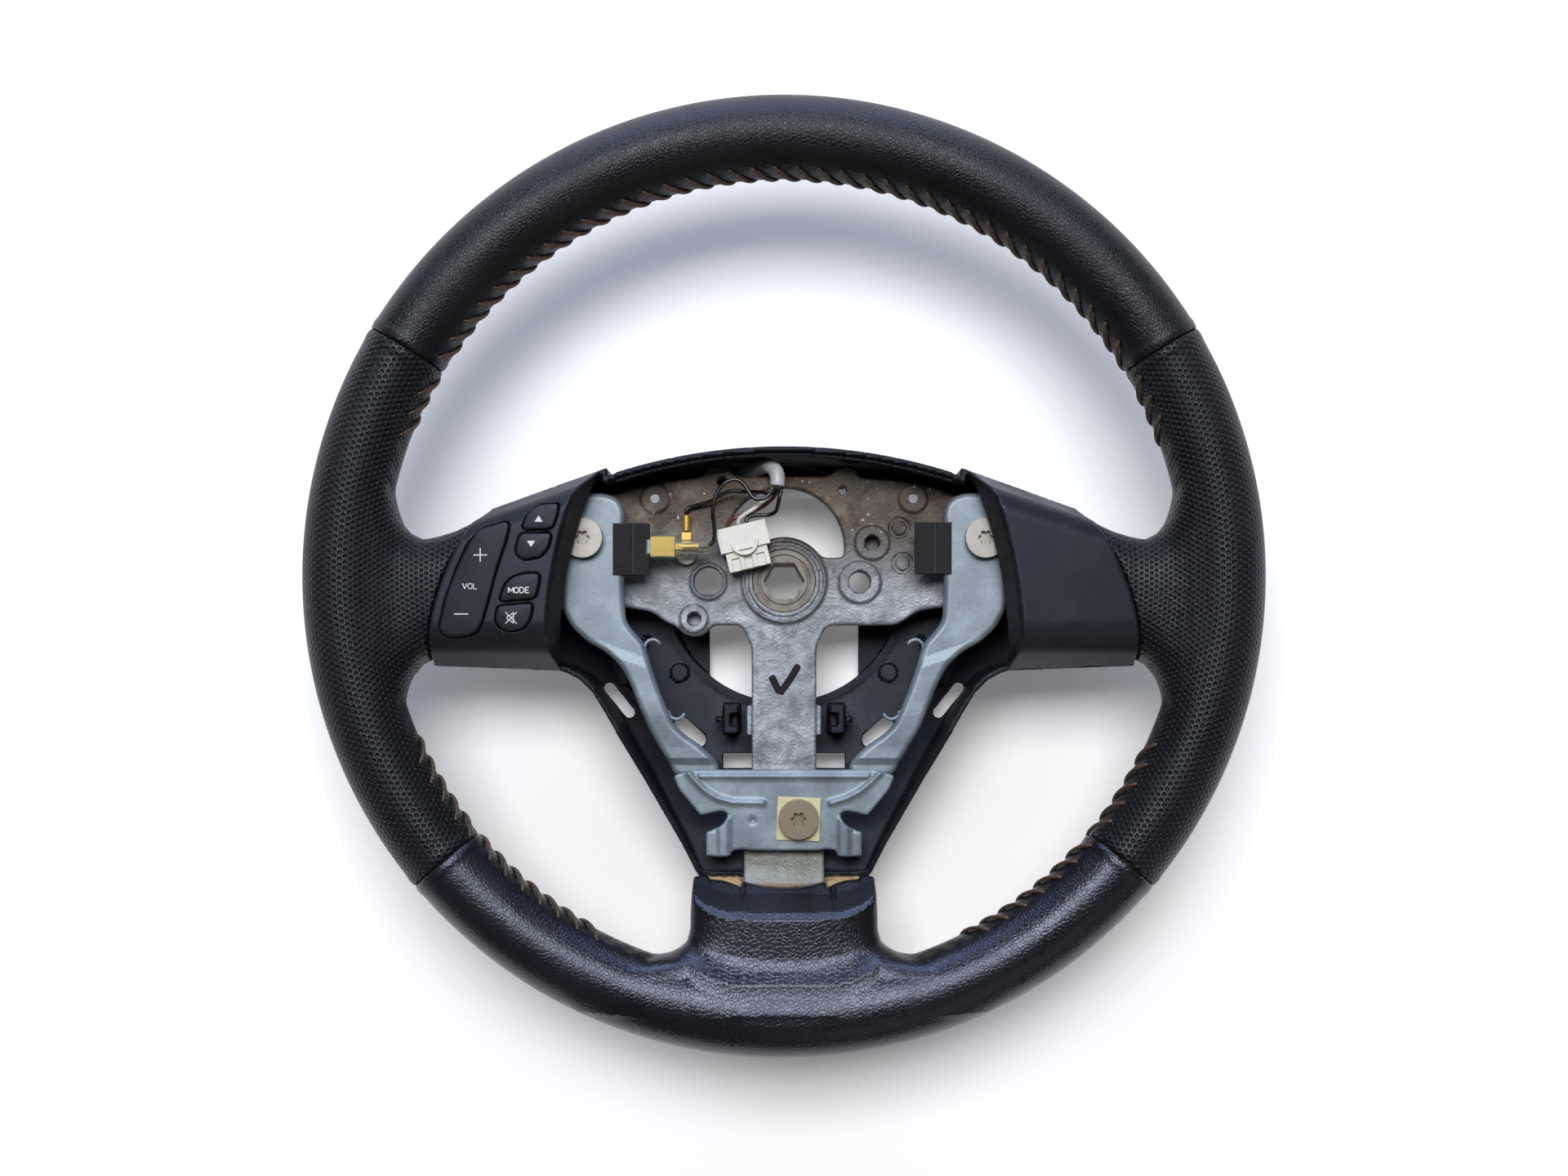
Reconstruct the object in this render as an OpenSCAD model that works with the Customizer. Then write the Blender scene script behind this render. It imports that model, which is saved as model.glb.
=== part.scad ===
// Three-spoke car steering wheel with a leather rim, with the airbag module taken out.
// The origin is on the steering axis, at the rear face of the column collar.
// X points right, Y points to the top of the wheel and Z points to the driver.

/* [Rim] */
// Outer diameter of the leather rim
rim_d = 370; // [360:1:380]
// Diameter of the round grip over the leather
grip_d = 31.2; // [29.6:0.1:32]
// Height of the rim's middle plane over the rear collar
rim_z = 60; // [59:0.5:62]
// Thickness of the leather
leather_t = 1.3; // [1:0.1:1.6]
// Diameter of the steel ring inside the rim
ring_d = 10; // [8:0.5:12]
// Angle of the two upper leather seams above the horizontal
seam_up = 31; // [26:1:40]
// Angle of the two lower leather seams below the horizontal
seam_down = 40; // [37:1:46]
// Gap between two leathers at a seam
seam_gap = 0.4; // [0.2:0.1:1]
// Gap between the leather and the edge of each spoke cover
edge_gap = 0.3; // [0.2:0.05:0.6]

/* [Armature] */
// Height of the hub plate's front face
plate_z = 32; // [31:0.5:33]
// Thickness of the hub plate
plate_t = 6; // [5:0.5:7]
// Outer diameter of the hub boss
hub_d = 34; // [30:0.5:36]
// Outer diameter of the steel hub sleeve
sleeve_d = 25; // [22:0.5:27]
// Width of the hex drive across its flats
hex_af = 14.3; // [12:0.1:17]
// Width of the lower leg beside the hub
leg_w = 26; // [24:0.5:28]
// Diameter of the through hole to the right of the hub
right_hole_d = 8.6; // [7:0.1:10]
// Diameter of the through hole to the left of the hub
left_hole_d = 11.8; // [10:0.1:13]
// Diameter of the bosses that the horn plate's screws go into
seat_d = 18; // [17:0.5:19]

/* [Rear cover] */
// Wall of the rear cover
shell_t = 2.2; // [1.8:0.1:2.6]
// Inner diameter of the collar and its opening
collar_id = 98; // [94:1:100]
// Outer diameter of the collar
collar_od = 104; // [102:0.5:106]
// Width of the column's opening between the two floors of the collar
column_gap = 62; // [56:1:66]
// Distance of the two cover screws from the middle line
cover_screw_x = 51.8; // [50:0.2:53]
// Height of the two cover screws above the steering axis
cover_screw_y = 33; // [32:0.2:33.6]

/* [Spoke covers] */
// Wall of the spoke covers
cover_t = 2.2; // [1.8:0.1:2.6]
// Height of the covers' front over the rim's middle plane
cover_rise = 11; // [10.5:0.1:12]
// Radius of the covers' upper front edge
top_edge_r = 6; // [4:0.5:7]
// Radius of the covers' lower front edge
low_edge_r = 8; // [6:0.5:9]
// Gap between a key and its window
key_gap = 0.4; // [0.3:0.05:0.6]
// Height of the keys over the cover's face
key_proud = 0.7; // [0.4:0.1:1.2]
// Travel of the four push keys
key_travel = 0.8; // [0.5:0.1:0.9]

/* [Horn plate] */
// Thickness of the horn plate's sheet
sheet_t = 1.8; // [1.5:0.1:2.2]
// Gap between the hub plate and the horn plate
horn_gap = 12; // [11.5:0.1:13]
// Depth of the flanges along the two bracket arms
flange_h = 3.5; // [2:0.5:4.5]
// Travel of the horn plate
horn_travel = 1.3; // [0.8:0.1:1.5]
// Head diameter of the three shoulder screws
head_d = 15.8; // [14:0.2:16.6]
// Head height of the three shoulder screws
head_h = 3; // [2.4:0.1:3.4]
// Shoulder diameter of the three shoulder screws
shoulder_d = 8.4; // [7:0.1:8.6]
// Wire diameter of the horn springs
spring_wire = 1.1; // [0.8:0.05:1.3]
// Turns of each horn spring
spring_turns = 3.5; // [2.5:0.5:4]

/* [Wiring] */
// Diameter of the insulated wires
wire_d = 1.6; // [1.2:0.1:1.7]
// Diameter of the sheath round the wires
sheath_d = 6; // [4.5:0.5:6]
// Width of the connector
plug_w = 20; // [17:0.5:21]
// Length of the connector
plug_l = 17.6; // [15:0.2:19]
// Height of the connector
plug_h = 9.2; // [7:0.2:10]

/* [Hidden] */
$fn = 48;
fit = 0.1;
seat_gap = 0.3;
smooth = 96;
small = 24;
through = 200;

// Rim and roots
rim_r = (rim_d - grip_d) / 2;
rim_in = rim_r - grip_d / 2;
knuckle_d = ring_d + 9;
foam_d = grip_d - 2 * leather_t - 2 * fit;
root_sides = 24;
root_power = 2 / 3;
// Each station of a root: distance in from the rim, two side edges, back and front edge
side_stations = [[-6, -50, 33, -8, 7.5], [-1, -54, 36, -10, 8.5], [3, -50, 27.5, -12, 8.6],
    [6, -45.5, 21.4, -13, 8.3], [9, -40.5, 18.4, -14.2, 7.9], [13, -36, 17, -16, 7.2],
    [16.5, -34.2, 17.8, -18.4, 6.4], [19, -34.2, 18.5, -20, 6], [25, -34.4, 20.5, -22, 5.8],
    [31.5, -34.6, 23.7, -24, 5.8], [38, -34.8, 27, -26, 5.8], [46, -35, 30.4, -27.5, 5.8]];
// Narrowing of a root towards its front at its lower and upper edge, as on the covers
root_lean_low = 6;
root_lean_top = 5;
bottom_stations = [[-6, -62, 62, -8, 8], [-1, -58, 58, -10, 10.5], [3, -52, 52, -12, 9.6],
    [6, -46, 46, -13, 9.2], [9, -41, 41, -13.5, 8.9], [13, -38, 38, -14, 8.6],
    [18, -36.8, 36.8, -16, 8.3], [24, -36.8, 36.8, -18, 8], [26.5, -36.6, 36.6, -20, 4.5],
    [31, -36.2, 36.2, -22, -5], [34.3, -36, 36, -23, -10.5]];

// Spoke covers: the faces lean back by face_slope from the ridge at ridge_x
parting_z = rim_z - 10;
face_z = rim_z + cover_rise;
face_slope = 0.08;
face_tilt = atan(face_slope);
ridge_x = 85;
edge_r = 105.5;
edge_cx = rim_in - 16.7 - edge_r;
edge_cy = -38;
hub_cut_r = 179;
hub_side = 91;
hub_cut_x = hub_cut_r - hub_side;
hub_cut_y = -30;
hub_cut_z = rim_z + 10;
hub_cut_lean = 0.2;
line_top = [69, 43.5];
line_top_slope = -0.3587;
line_low = [88, -36];
line_low_slope = 0.0377;
inset_top = 5.3;
inset_low = 6.5;

// Horn plate and what holds it
horn_z = plate_z + horn_gap;
horn_top = horn_z + sheet_t;
seat_z = plate_z + 5;
bush_lip = 0.8;
bush_flange = 0.9;
head_z = horn_top + bush_flange + seat_gap;
head_top = head_z + head_h;
spring_r = shoulder_d / 2 + 2.2;
upper_seat = [79, 16];
lower_seat = [5.7, -94.4];
seats = [[-upper_seat[0], upper_seat[1]], upper_seat, lower_seat];
bush_bore = shoulder_d / 2 + seat_gap;
bush_neck = bush_bore + 0.8;
skirt_z = seat_z + horn_travel + fit;
foot_z = head_top + 2.5;

function unit(v) = v / norm(v);
function power_of(v, e) = sign(v) * pow(abs(v), e);
function line_at(p, slope, x) = p[1] + slope * (x - p[0]);
function mirrored(points) = [for (i = [len(points) - 1:-1:0]) [-points[i][0], points[i][1]]];

// One closed ring of a root, a rounded rectangle that is inset on all sides
function root_ring(st, inset) = let (
    middle_w = (st[1] + st[2]) / 2,
    half_w = (st[2] - st[1]) / 2 - inset,
    middle_z = rim_z + (st[3] + st[4]) / 2,
    half_z = (st[4] - st[3]) / 2 - inset,
    ramp = max(0, min(1, (st[0] - 2) / 12)))
    [for (i = [0:root_sides - 1]) let (
        a = 360 * i / root_sides,
        across = power_of(cos(a), root_power),
        up = power_of(sin(a), root_power),
        lean = (across < 0 ? root_lean_low : root_lean_top) * ramp * (up + 1) / 2)
        [rim_in - st[0], middle_w + (half_w - lean) * across, middle_z + half_z * up]];

// Rings of a tube along a route, each turned as little as its neighbour allows
function heading(p, i) = unit(p[min(i + 1, len(p) - 1)] - p[max(i - 1, 0)]);
function first_side(t) = unit(cross(t, abs(t[2]) < 0.9 ? [0, 0, 1] : [1, 0, 0]));
function side_at(p, i) = let (t = heading(p, i), n = i == 0 ? first_side(t) : side_at(p, i - 1))
    unit(n - (n * t) * t);
function tube_rings(p, r, sides) = [for (i = [0:len(p) - 1])
    let (t = heading(p, i), n = side_at(p, i), b = cross(n, t))
    [for (j = [0:sides - 1]) p[i] + r * (cos(360 * j / sides) * n + sin(360 * j / sides) * b)]];

// A closed solid through equal rings of points
module skin(rings) {
    n = len(rings[0]);
    last = len(rings) - 1;
    sides = [for (k = [0:last - 1], i = [0:n - 1], half = [0, 1])
        let (j = (i + 1) % n)
        half == 0 ? [k * n + i, k * n + j, (k + 1) * n + j]
            : [k * n + i, (k + 1) * n + j, (k + 1) * n + i]];
    ends = [[for (i = [n - 1:-1:0]) i], [for (i = [0:n - 1]) last * n + i]];
    polyhedron(points = [for (ring = rings, p = ring) p], faces = concat(sides, ends));
}

module tube(route, d, sides = 8) {
    skin(tube_rings(route, d / 2, sides));
}

module both_sides() {
    children();
    mirror([1, 0, 0]) children();
}

// A stretch of the round rim between two angles
module rim_arc(d, from, to) {
    translate([0, 0, rim_z])
        rotate([0, 0, from])
        rotate_extrude(angle = to - from, $fn = smooth)
        translate([rim_r, 0])
        circle(d = d, $fn = 32);
}

module full_rim(d) {
    translate([0, 0, rim_z])
        rotate_extrude($fn = smooth)
        translate([rim_r, 0])
        circle(d = d, $fn = 32);
}

module side_root(inset) {
    skin([for (st = side_stations) root_ring(st, inset)]);
}

module bottom_root(inset) {
    rotate([0, 0, -90])
        skin([for (st = bottom_stations) root_ring(st, inset)]);
}

// The round edge where a side root and its spoke cover meet
module root_end(g) {
    translate([edge_cx, edge_cy, 0])
        cylinder(r = edge_r + g, h = through, $fn = 2 * smooth);
}

function gap_angle() = seam_gap / 2 / rim_r * 180 / PI;

module leather_arc(from, to) {
    difference() {
        union() {
            rim_arc(grip_d, from + gap_angle(), to - gap_angle());
            children(0);
        }
        rim_arc(grip_d - 2 * leather_t, from - 1, to + 1);
        children(1);
    }
}

module leather_top() {
    color([0.11, 0.11, 0.12])
        difference() {
            rim_arc(grip_d, seam_up + gap_angle(), 180 - seam_up - gap_angle());
            full_rim(grip_d - 2 * leather_t);
        }
}

module side_leather() {
    difference() {
        leather_arc(-seam_down, seam_up) {
            side_root(0);
            side_root(leather_t);
        }
        root_end(edge_gap);
    }
}

module leather_right() {
    color([0.13, 0.13, 0.14])
        side_leather();
}

module leather_left() {
    color([0.13, 0.13, 0.14])
        mirror([1, 0, 0])
        side_leather();
}

// The end stations of the inner form run out past the leather, so that its end is open
module bottom_inside(inset) {
    last = bottom_stations[len(bottom_stations) - 1];
    run_out = [last[0] + 2, last[1], last[2], last[3], last[4]];
    rotate([0, 0, -90])
        skin([for (st = concat(bottom_stations, [run_out])) root_ring(st, inset)]);
}

module leather_bottom() {
    color([0.12, 0.12, 0.13])
        leather_arc(180 + seam_down, 360 - seam_down) {
            bottom_root(0);
            bottom_inside(leather_t);
        }
}

module rim_foam() {
    color([0.62, 0.5, 0.33])
        difference() {
            union() {
                full_rim(foam_d);
                both_sides()
                    difference() {
                        side_root(leather_t + fit);
                        root_end(edge_gap);
                    }
                bottom_root(leather_t + fit);
            }
            full_rim(ring_d + 2 * fit);
            knuckles(fit);
            both_sides() arm(fit);
            leg(fit);
        }
}

module rim_ring() {
    color([0.45, 0.46, 0.48])
        full_rim(ring_d);
}

// The cast spokes, each the meeting of a plan and a side view, grown by g on all faces
module arm(g) {
    tip = rim_r - 4.4;
    intersection() {
        linear_extrude(height = through)
            polygon([[60, -10.4 - g], [88, -11 - g], [112, -15 - g], [135, -17 - g],
                [tip, -17 - g], [tip, 1 + g], [135, 1 + g], [112, 8 + g], [92, 20 + g],
                [72, 34 + g], [60, 37.5 + g]]);
        rotate([90, 0, 0])
            linear_extrude(height = through, center = true)
            polygon([[60, plate_z - plate_t - g], [80, plate_z - 5 - g], [97, plate_z - 2 - g],
                [122, rim_z - 18 - g], [142, rim_z - 9 - g], [tip, rim_z - 4 - g],
                [tip, rim_z + 4 + g], [140, rim_z - 1 + g], [118, rim_z - 10 + g],
                [95, plate_z + 6 + g], [80, plate_z + 2 + g], [62, plate_z + g],
                [60, plate_z + g]]);
    }
}

module leg(g) {
    tip = rim_r - 9.4;
    wide = leg_w / 2 + 3;
    intersection() {
        linear_extrude(height = through)
            polygon([[-leg_w / 2 - g, -10], [-leg_w / 2 - g, -100], [-wide - g, -105],
                [-wide - g, -tip], [wide + g, -tip], [wide + g, -105], [leg_w / 2 + g, -100],
                [leg_w / 2 + g, -10]]);
        rotate([90, 0, 90])
            linear_extrude(height = through, center = true)
            polygon([[-10, plate_z - plate_t - g], [-74, plate_z - plate_t - g],
                [-86, plate_z - 2 - g], [-104, plate_z + 0.5 - g], [-119, rim_z - 21 - g],
                [-140, rim_z - 11 - g], [-tip, rim_z - 4 - g], [-tip, rim_z + 4 + g],
                [-140, rim_z - 3 + g], [-119, rim_z - 14 + g], [-104, plate_z + 5 + g],
                [-86, plate_z + 3 + g], [-74, plate_z + g], [-10, plate_z + g]]);
    }
}

// Cast sockets round the steel ring at the end of each spoke
module knuckles(g) {
    for (a = [-3, 183, 270])
        rim_arc(knuckle_d + 2 * g, a - 5 - g, a + 5 + g);
}

boss_a = [35.4, 15.3];
boss_b = [30.4, -0.5];
boss_c = [-30.4, -0.3];
boss_d = [-36.2, -15.2];
ground_at = [-39.1, 10.4];

module hub_plate() {
    translate([0, 0, plate_z - plate_t])
        linear_extrude(height = plate_t)
        difference() {
            union() {
                polygon([[-66, -10.4], [-66, 36.8], [-49.6, 40], [-33, 42], [-30.6, 46.6],
                    [-22.7, 46.6], [-20, 42.2], [18.2, 42.2], [22.5, 46.6], [28.8, 46.6],
                    [30.1, 42], [49.6, 40], [66, 36.8], [66, -10.4], [54, -12], [45.5, -17.8],
                    [17.1, -17.8], [13.6, -25.2], [-13.6, -25.2], [-17.1, -17.8],
                    [-45.5, -17.8], [-54, -12]]);
                translate(boss_d) circle(d = 14.2);
            }
            difference() {
                translate([0, 13.3]) circle(r = 24.2, $fn = smooth);
                circle(d = hub_d + 1.6, $fn = smooth);
                translate([-30, -30]) square([60, 39.5]);
            }
            translate([-25, 40.1]) circle(d = 3.8, $fn = small);
            translate([23.5, 36.4]) circle(d = 3.4, $fn = small);
        }
}

module raised_boss(at, d, h) {
    translate([at[0], at[1], plate_z - plate_t])
        cylinder(d = d, h = plate_t + h);
}

module blind_hole(at, d, depth) {
    translate([at[0], at[1], plate_z - depth])
        cylinder(d = d, h = through, $fn = small);
}

module armature() {
    rib_h = 4;
    color([0.42, 0.4, 0.38])
        difference() {
            union() {
                hub_plate();
                both_sides() arm(0);
                leg(0);
                knuckles(0);
                translate([0, 0, 8]) cylinder(d = hub_d, h = plate_z + 1.5 - 8, $fn = smooth);
                raised_boss(boss_a, 13.8, 1);
                raised_boss(boss_b, 16.8, 1);
                raised_boss(boss_c, 14.6, 1);
                raised_boss(boss_d, 11.2, 1);
                both_sides() raised_boss([cover_screw_x, cover_screw_y], 11.2, 0.6);
                for (at = seats)
                    translate([at[0], at[1], plate_z - 2])
                        cylinder(d = seat_d, h = seat_z - plate_z + 2);
                both_sides()
                    for (start = [[14, -8], [25, 22]])
                        translate([start[0], start[1], plate_z - plate_t - rib_h])
                            cube([64 - start[0], 3, rib_h + 1]);
                both_sides()
                    translate([leg_w / 2 - 1, -62, plate_z - plate_t])
                        cube([3, 12, plate_t - 1]);
            }
            translate([0, 0, -1]) cylinder(d = sleeve_d + 2 * fit, h = through, $fn = smooth);
            full_rim(ring_d + 2 * fit);
            blind_hole(boss_a, 5.8, 5);
            blind_hole(boss_d, 5.2, 5);
            blind_hole([-35.5, 20], 3.4, 3);
            blind_hole([46.3, 21.3], 8, 0.6);
            blind_hole([47.6, 7.1], 8, 0.6);
            translate([boss_b[0], boss_b[1], -1]) cylinder(d = right_hole_d, h = through);
            translate([boss_c[0], boss_c[1], -1]) cylinder(d = left_hole_d, h = through);
            both_sides()
                translate([cover_screw_x, cover_screw_y, -1])
                cylinder(d = 4, h = through, $fn = small);
            translate([ground_at[0], ground_at[1], -1]) cylinder(d = 4.2, h = through, $fn = small);
            for (at = seats)
                translate([at[0], at[1], -1]) cylinder(d = 6.2, h = through);
        }
}

module hub_sleeve() {
    color([0.55, 0.54, 0.52])
        difference() {
            translate([0, 0, 6]) cylinder(d = sleeve_d, h = plate_z + 1 - 6, $fn = smooth);
            translate([0, 0, -1]) cylinder(d = hex_af / cos(30), h = through, $fn = 6);
            translate([0, 0, plate_z + 0.4])
                difference() {
                    cylinder(d = 21, h = 2);
                    translate([0, 0, -1]) cylinder(d = 19, h = 4);
                }
        }
}

cover_tip_y = 35.3 - rim_in;

// Outline of the rear cover seen from the front
module cover_plan() {
    lower = [[34, cover_tip_y], [40.5, -105], [55, -78.7], [69.5, -53.6], [75, -44.6], [80, -39.6],
        [85, -37], line_low];
    far = edge_cx + edge_r + 2;
    half = concat(lower, [[far, line_at(line_low, line_low_slope, far)],
        [far, line_at(line_top, line_top_slope, far)], line_top, [line_top[0], 60]]);
    intersection() {
        union() {
            translate([0, -165.5]) circle(r = 217, $fn = 2 * smooth);
            both_sides() translate([line_top[0], 0]) square([far, 60]);
        }
        polygon(concat(half, mirrored(half)));
        both_sides()
            translate([edge_cx, edge_cy]) circle(r = edge_r, $fn = 2 * smooth);
    }
}

// Everything in front of the dished rear surface
module bowl(lift) {
    rotate_extrude($fn = smooth)
        polygon([[0, lift], [collar_od / 2, lift], [collar_od / 2 + 1, 10 + lift],
            [78, 13 + lift], [104, 27 + lift], [125, rim_z - 23 + lift],
            [150, rim_z - 17 + lift], [200, rim_z - 10 + lift], [200, through], [0, through]]);
}

module slot(from, to, w) {
    translate([0, 0, -1])
        linear_extrude(height = 41)
        hull()
        for (at = [from, to])
            translate(at) circle(d = w, $fn = small);
}

// The collar's floors, two beside the lower half of the column's opening and one above it
module collar_floor() {
    side_top = -10;
    upper_low = 40;
    intersection() {
        translate([0, 0, 3]) cylinder(d = collar_od - 1, h = shell_t, $fn = smooth);
        union() {
            both_sides()
                translate([column_gap / 2, side_top - through, 0]) cube(through);
            translate([-through / 2, upper_low, 0]) cube(through);
        }
    }
}

module rear_cover() {
    lip = 2;
    hook = [21.5, -55.7];
    fall_y = -60;
    end_z = parting_z - 13;
    color([0.13, 0.13, 0.14])
        difference() {
            union() {
                difference() {
                    intersection() {
                        bowl(0);
                        linear_extrude(height = parting_z + lip) cover_plan();
                    }
                    intersection() {
                        bowl(shell_t);
                        linear_extrude(height = through) offset(delta = -shell_t) cover_plan();
                    }
                    both_sides()
                        translate([line_top[0] - 3, -60, parting_z]) cube(through);
                    both_sides() arm(0.5);
                    translate([0, fall_y, parting_z + lip])
                        rotate([atan((parting_z + lip - end_z) / (fall_y - cover_tip_y)), 0, 0])
                        translate([-through / 2, -through, 0])
                        cube(through);
                }
                difference() {
                    cylinder(d = collar_od, h = 12, $fn = smooth);
                    translate([0, 0, -1]) cylinder(d = collar_id, h = 20, $fn = smooth);
                }
                both_sides()
                    translate([cover_screw_x, cover_screw_y, 11.5])
                    cylinder(d = 11.2, h = plate_z - plate_t - seat_gap - 11.5);
                both_sides()
                    translate([hook[0] - 3.3, hook[1] - 6, 12.5])
                    cube([6.6, 12, plate_z - 13.5]);
                collar_floor();
            }
            difference() {
                translate([0, 0, -1]) cylinder(d = collar_id, h = 40, $fn = smooth);
                collar_floor();
            }
            both_sides() {
                translate([cover_screw_x, cover_screw_y, -1]) cylinder(d = 8.4, h = 17.5);
                translate([cover_screw_x, cover_screw_y, -1])
                    cylinder(d = 4.4, h = through, $fn = small);
                slot([71.6, -43], [63.4, -53.2], 4.2);
                slot([42, -58.4], [35.4, -64.4], 6.4);
            }
            translate([-25, -76, -1]) cube([50, 6, 40]);
        }
}

module rear_cover_screws() {
    color([0.35, 0.35, 0.37])
        both_sides()
        translate([cover_screw_x, cover_screw_y, 0])
        difference() {
            union() {
                translate([0, 0, 14]) cylinder(d = 7.6, h = 2.4);
                translate([0, 0, 16]) cylinder(d = 3.8, h = plate_z + 1 - 16, $fn = small);
            }
            translate([0, 0, 13]) cylinder(d = 3, h = 2.4, $fn = 6);
        }
}

// The padded form of a spoke cover, inset by g, before its ends are cut
module cover_form(g) {
    near_x = 62;
    far_x = edge_cx + edge_r + 12;
    hull() {
        for (x = [near_x, far_x]) {
            lean = face_z - face_slope * (x - ridge_x);
            translate([x, line_at(line_top, line_top_slope, x) - inset_top - top_edge_r,
                lean - top_edge_r])
                sphere(r = top_edge_r - g, $fn = 24);
            translate([x, line_at(line_low, line_low_slope, x) + inset_low + low_edge_r,
                lean - low_edge_r])
                sphere(r = low_edge_r - g, $fn = 24);
        }
        translate([0, 0, parting_z - (g > 0 ? 1 : 0)])
            linear_extrude(height = 0.5)
            polygon([[near_x, line_at(line_low, line_low_slope, near_x) + g],
                [far_x, line_at(line_low, line_low_slope, far_x) + g],
                [far_x, line_at(line_top, line_top_slope, far_x) - g],
                [near_x, line_at(line_top, line_top_slope, near_x) - g]]);
    }
}

// The leaning round cut at the hub side, moved outward by g
module hub_side_cut(g) {
    low = parting_z - 2;
    high = face_z + 10;
    translate([-hub_cut_x, hub_cut_y, low])
        cylinder(r1 = hub_cut_r + g - (hub_cut_z - low) * hub_cut_lean,
            r2 = hub_cut_r + g + (high - hub_cut_z) * hub_cut_lean, h = high - low, $fn = 2 * smooth);
}

module cover_shell() {
    near_x = 60;
    foot_x = 94;
    difference() {
        intersection() {
            cover_form(0);
            root_end(0);
        }
        hub_side_cut(0);
        difference() {
            cover_form(cover_t);
            hub_side_cut(cover_t);
        }
        translate([0, -through / 2, parting_z - through]) cube(through);
        linear_extrude(height = foot_z - seat_gap)
            polygon([[near_x, line_at(line_low, line_low_slope, near_x) + cover_t],
                [foot_x, line_at(line_low, line_low_slope, foot_x) + cover_t],
                [foot_x, line_at(line_top, line_top_slope, foot_x) - cover_t],
                [near_x, line_at(line_top, line_top_slope, near_x) - cover_t]]);
    }
}

// Moves a flat shape in plan onto the leaning face of the left cover
module on_left_face() {
    translate([-ridge_x, 0, face_z])
        rotate([0, -face_tilt, 0])
        translate([ridge_x, 0, 0])
        children();
}

volume_plan = [[-105.4, 20.6], [-104.3, 18.7], [-105.4, 14.2], [-109.3, 2.7], [-112.6, -9.8],
    [-115.4, -19.1], [-118.2, -22.2], [-126, -23.3], [-130.3, -22.5], [-131.6, -19.7],
    [-129.4, -9.8], [-125.4, 1.4], [-120.4, 12], [-116, 17.6]];
seek_up_plan = [[-85.5, 27.3], [-93.7, 26.7], [-97.7, 23.2], [-99.8, 17.3], [-87.7, 17.6],
    [-85.5, 24.2]];
seek_down_plan = [[-100.5, 15.9], [-88, 16.1], [-89.2, 10.5], [-92.7, 6.7], [-99.3, 5.9],
    [-102.3, 8.6]];
mode_plan = [[-103.9, -0.8], [-99.3, 0.6], [-93, 0.9], [-92.7, -1.9], [-94.3, -8.8],
    [-108.5, -10], [-106.5, -4.1]];
mute_plan = [[-109.3, -11.7], [-95.2, -10.4], [-96, -16.3], [-99.3, -20.5], [-106, -21.3],
    [-109.8, -18.5]];
push_plans = [seek_up_plan, seek_down_plan, mode_plan, mute_plan];
push_middles = [[-92.6, 20.9], [-95, 11], [-100, -4.3], [-102, -15.2]];

// Depths below the cover's face of the keys and of what lies under them
key_base = -3.6;
dome_top = key_base - key_travel - 0.1;
mat_top = dome_top - 1.6;
board_top = mat_top - 1.4;
tray_top = board_top - 2;
tray_floor = tray_top - 2;
rocker_at = [-115, -2.5];
rocker_turn = -26;
rocker_axis_z = -5.8;
pillars = [[-104.4, 3.4], [-95.8, 3.3], [-102.4, 19.6], [-111.7, -15.3]];

module windows() {
    for (plan = concat([volume_plan], push_plans))
        translate([0, 0, -6])
            linear_extrude(height = 12)
            offset(delta = key_gap)
            polygon(plan);
}

module spoke_cover_right() {
    color([0.17, 0.17, 0.18])
        cover_shell();
}

module spoke_cover_left() {
    color([0.17, 0.17, 0.18])
        difference() {
            mirror([1, 0, 0]) cover_shell();
            on_left_face() windows();
        }
}

module key_cap(plan) {
    translate([0, 0, key_base])
        linear_extrude(height = key_proud - key_base)
        polygon(plan);
}

module push_key(number) {
    color([0.16, 0.16, 0.17])
        on_left_face()
        key_cap(push_plans[number]);
}

module seek_up_button() {
    push_key(0);
}

module seek_down_button() {
    push_key(1);
}

module mode_button() {
    push_key(2);
}

module mute_button() {
    push_key(3);
}

// Turns the rocker's own axis onto X
module rocker_frame() {
    translate([rocker_at[0], rocker_at[1], rocker_axis_z])
        rotate([0, 0, rocker_turn])
        children();
}

module volume_rocker() {
    color([0.16, 0.16, 0.17])
        on_left_face() {
            key_cap(volume_plan);
            rocker_frame() {
                translate([-3, -1.5, 0]) cube([6, 3, key_base - rocker_axis_z + 0.5]);
                translate([-6.5, 0, 0])
                    rotate([0, 90, 0])
                    cylinder(d = 2.6, h = 13);
            }
        }
}

module switch_area(g) {
    intersection() {
        polygon([[-84, -19.5 + g], [-84, 28 - g], [-88, 27 - g], [-101, 22.4 - g],
            [-121 + g, 15 - g], [-134 + g, -18 + g], [-118, -19 + g]]);
        translate([-edge_cx, edge_cy]) circle(r = edge_r - 7.5 - g, $fn = smooth);
        difference() {
            translate([-150, -60]) square(120);
            translate([hub_cut_x, hub_cut_y])
                circle(r = hub_cut_r + cover_t + 0.8 + g, $fn = smooth);
        }
    }
}

module post_holes() {
    rocker_frame()
        for (x = [-5.2, 5.2])
            translate([x - 1.5, -3, -8]) cube([3, 6, 12]);
    for (at = pillars)
        translate([at[0], at[1], tray_floor]) cylinder(d = 3.2, h = 12, $fn = small);
}

module keypad_mat() {
    color([0.75, 0.75, 0.72])
        on_left_face()
        difference() {
            union() {
                translate([0, 0, board_top + 0.1])
                    linear_extrude(height = mat_top - board_top - 0.1)
                    switch_area(2);
                for (at = push_middles)
                    translate([at[0], at[1], mat_top - 0.5])
                        cylinder(d = 4.6, h = dome_top - mat_top + 0.5, $fn = small);
            }
            post_holes();
            rocker_frame() translate([-7.5, -3.2, -4]) cube([15, 6.4, 8]);
        }
}

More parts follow.
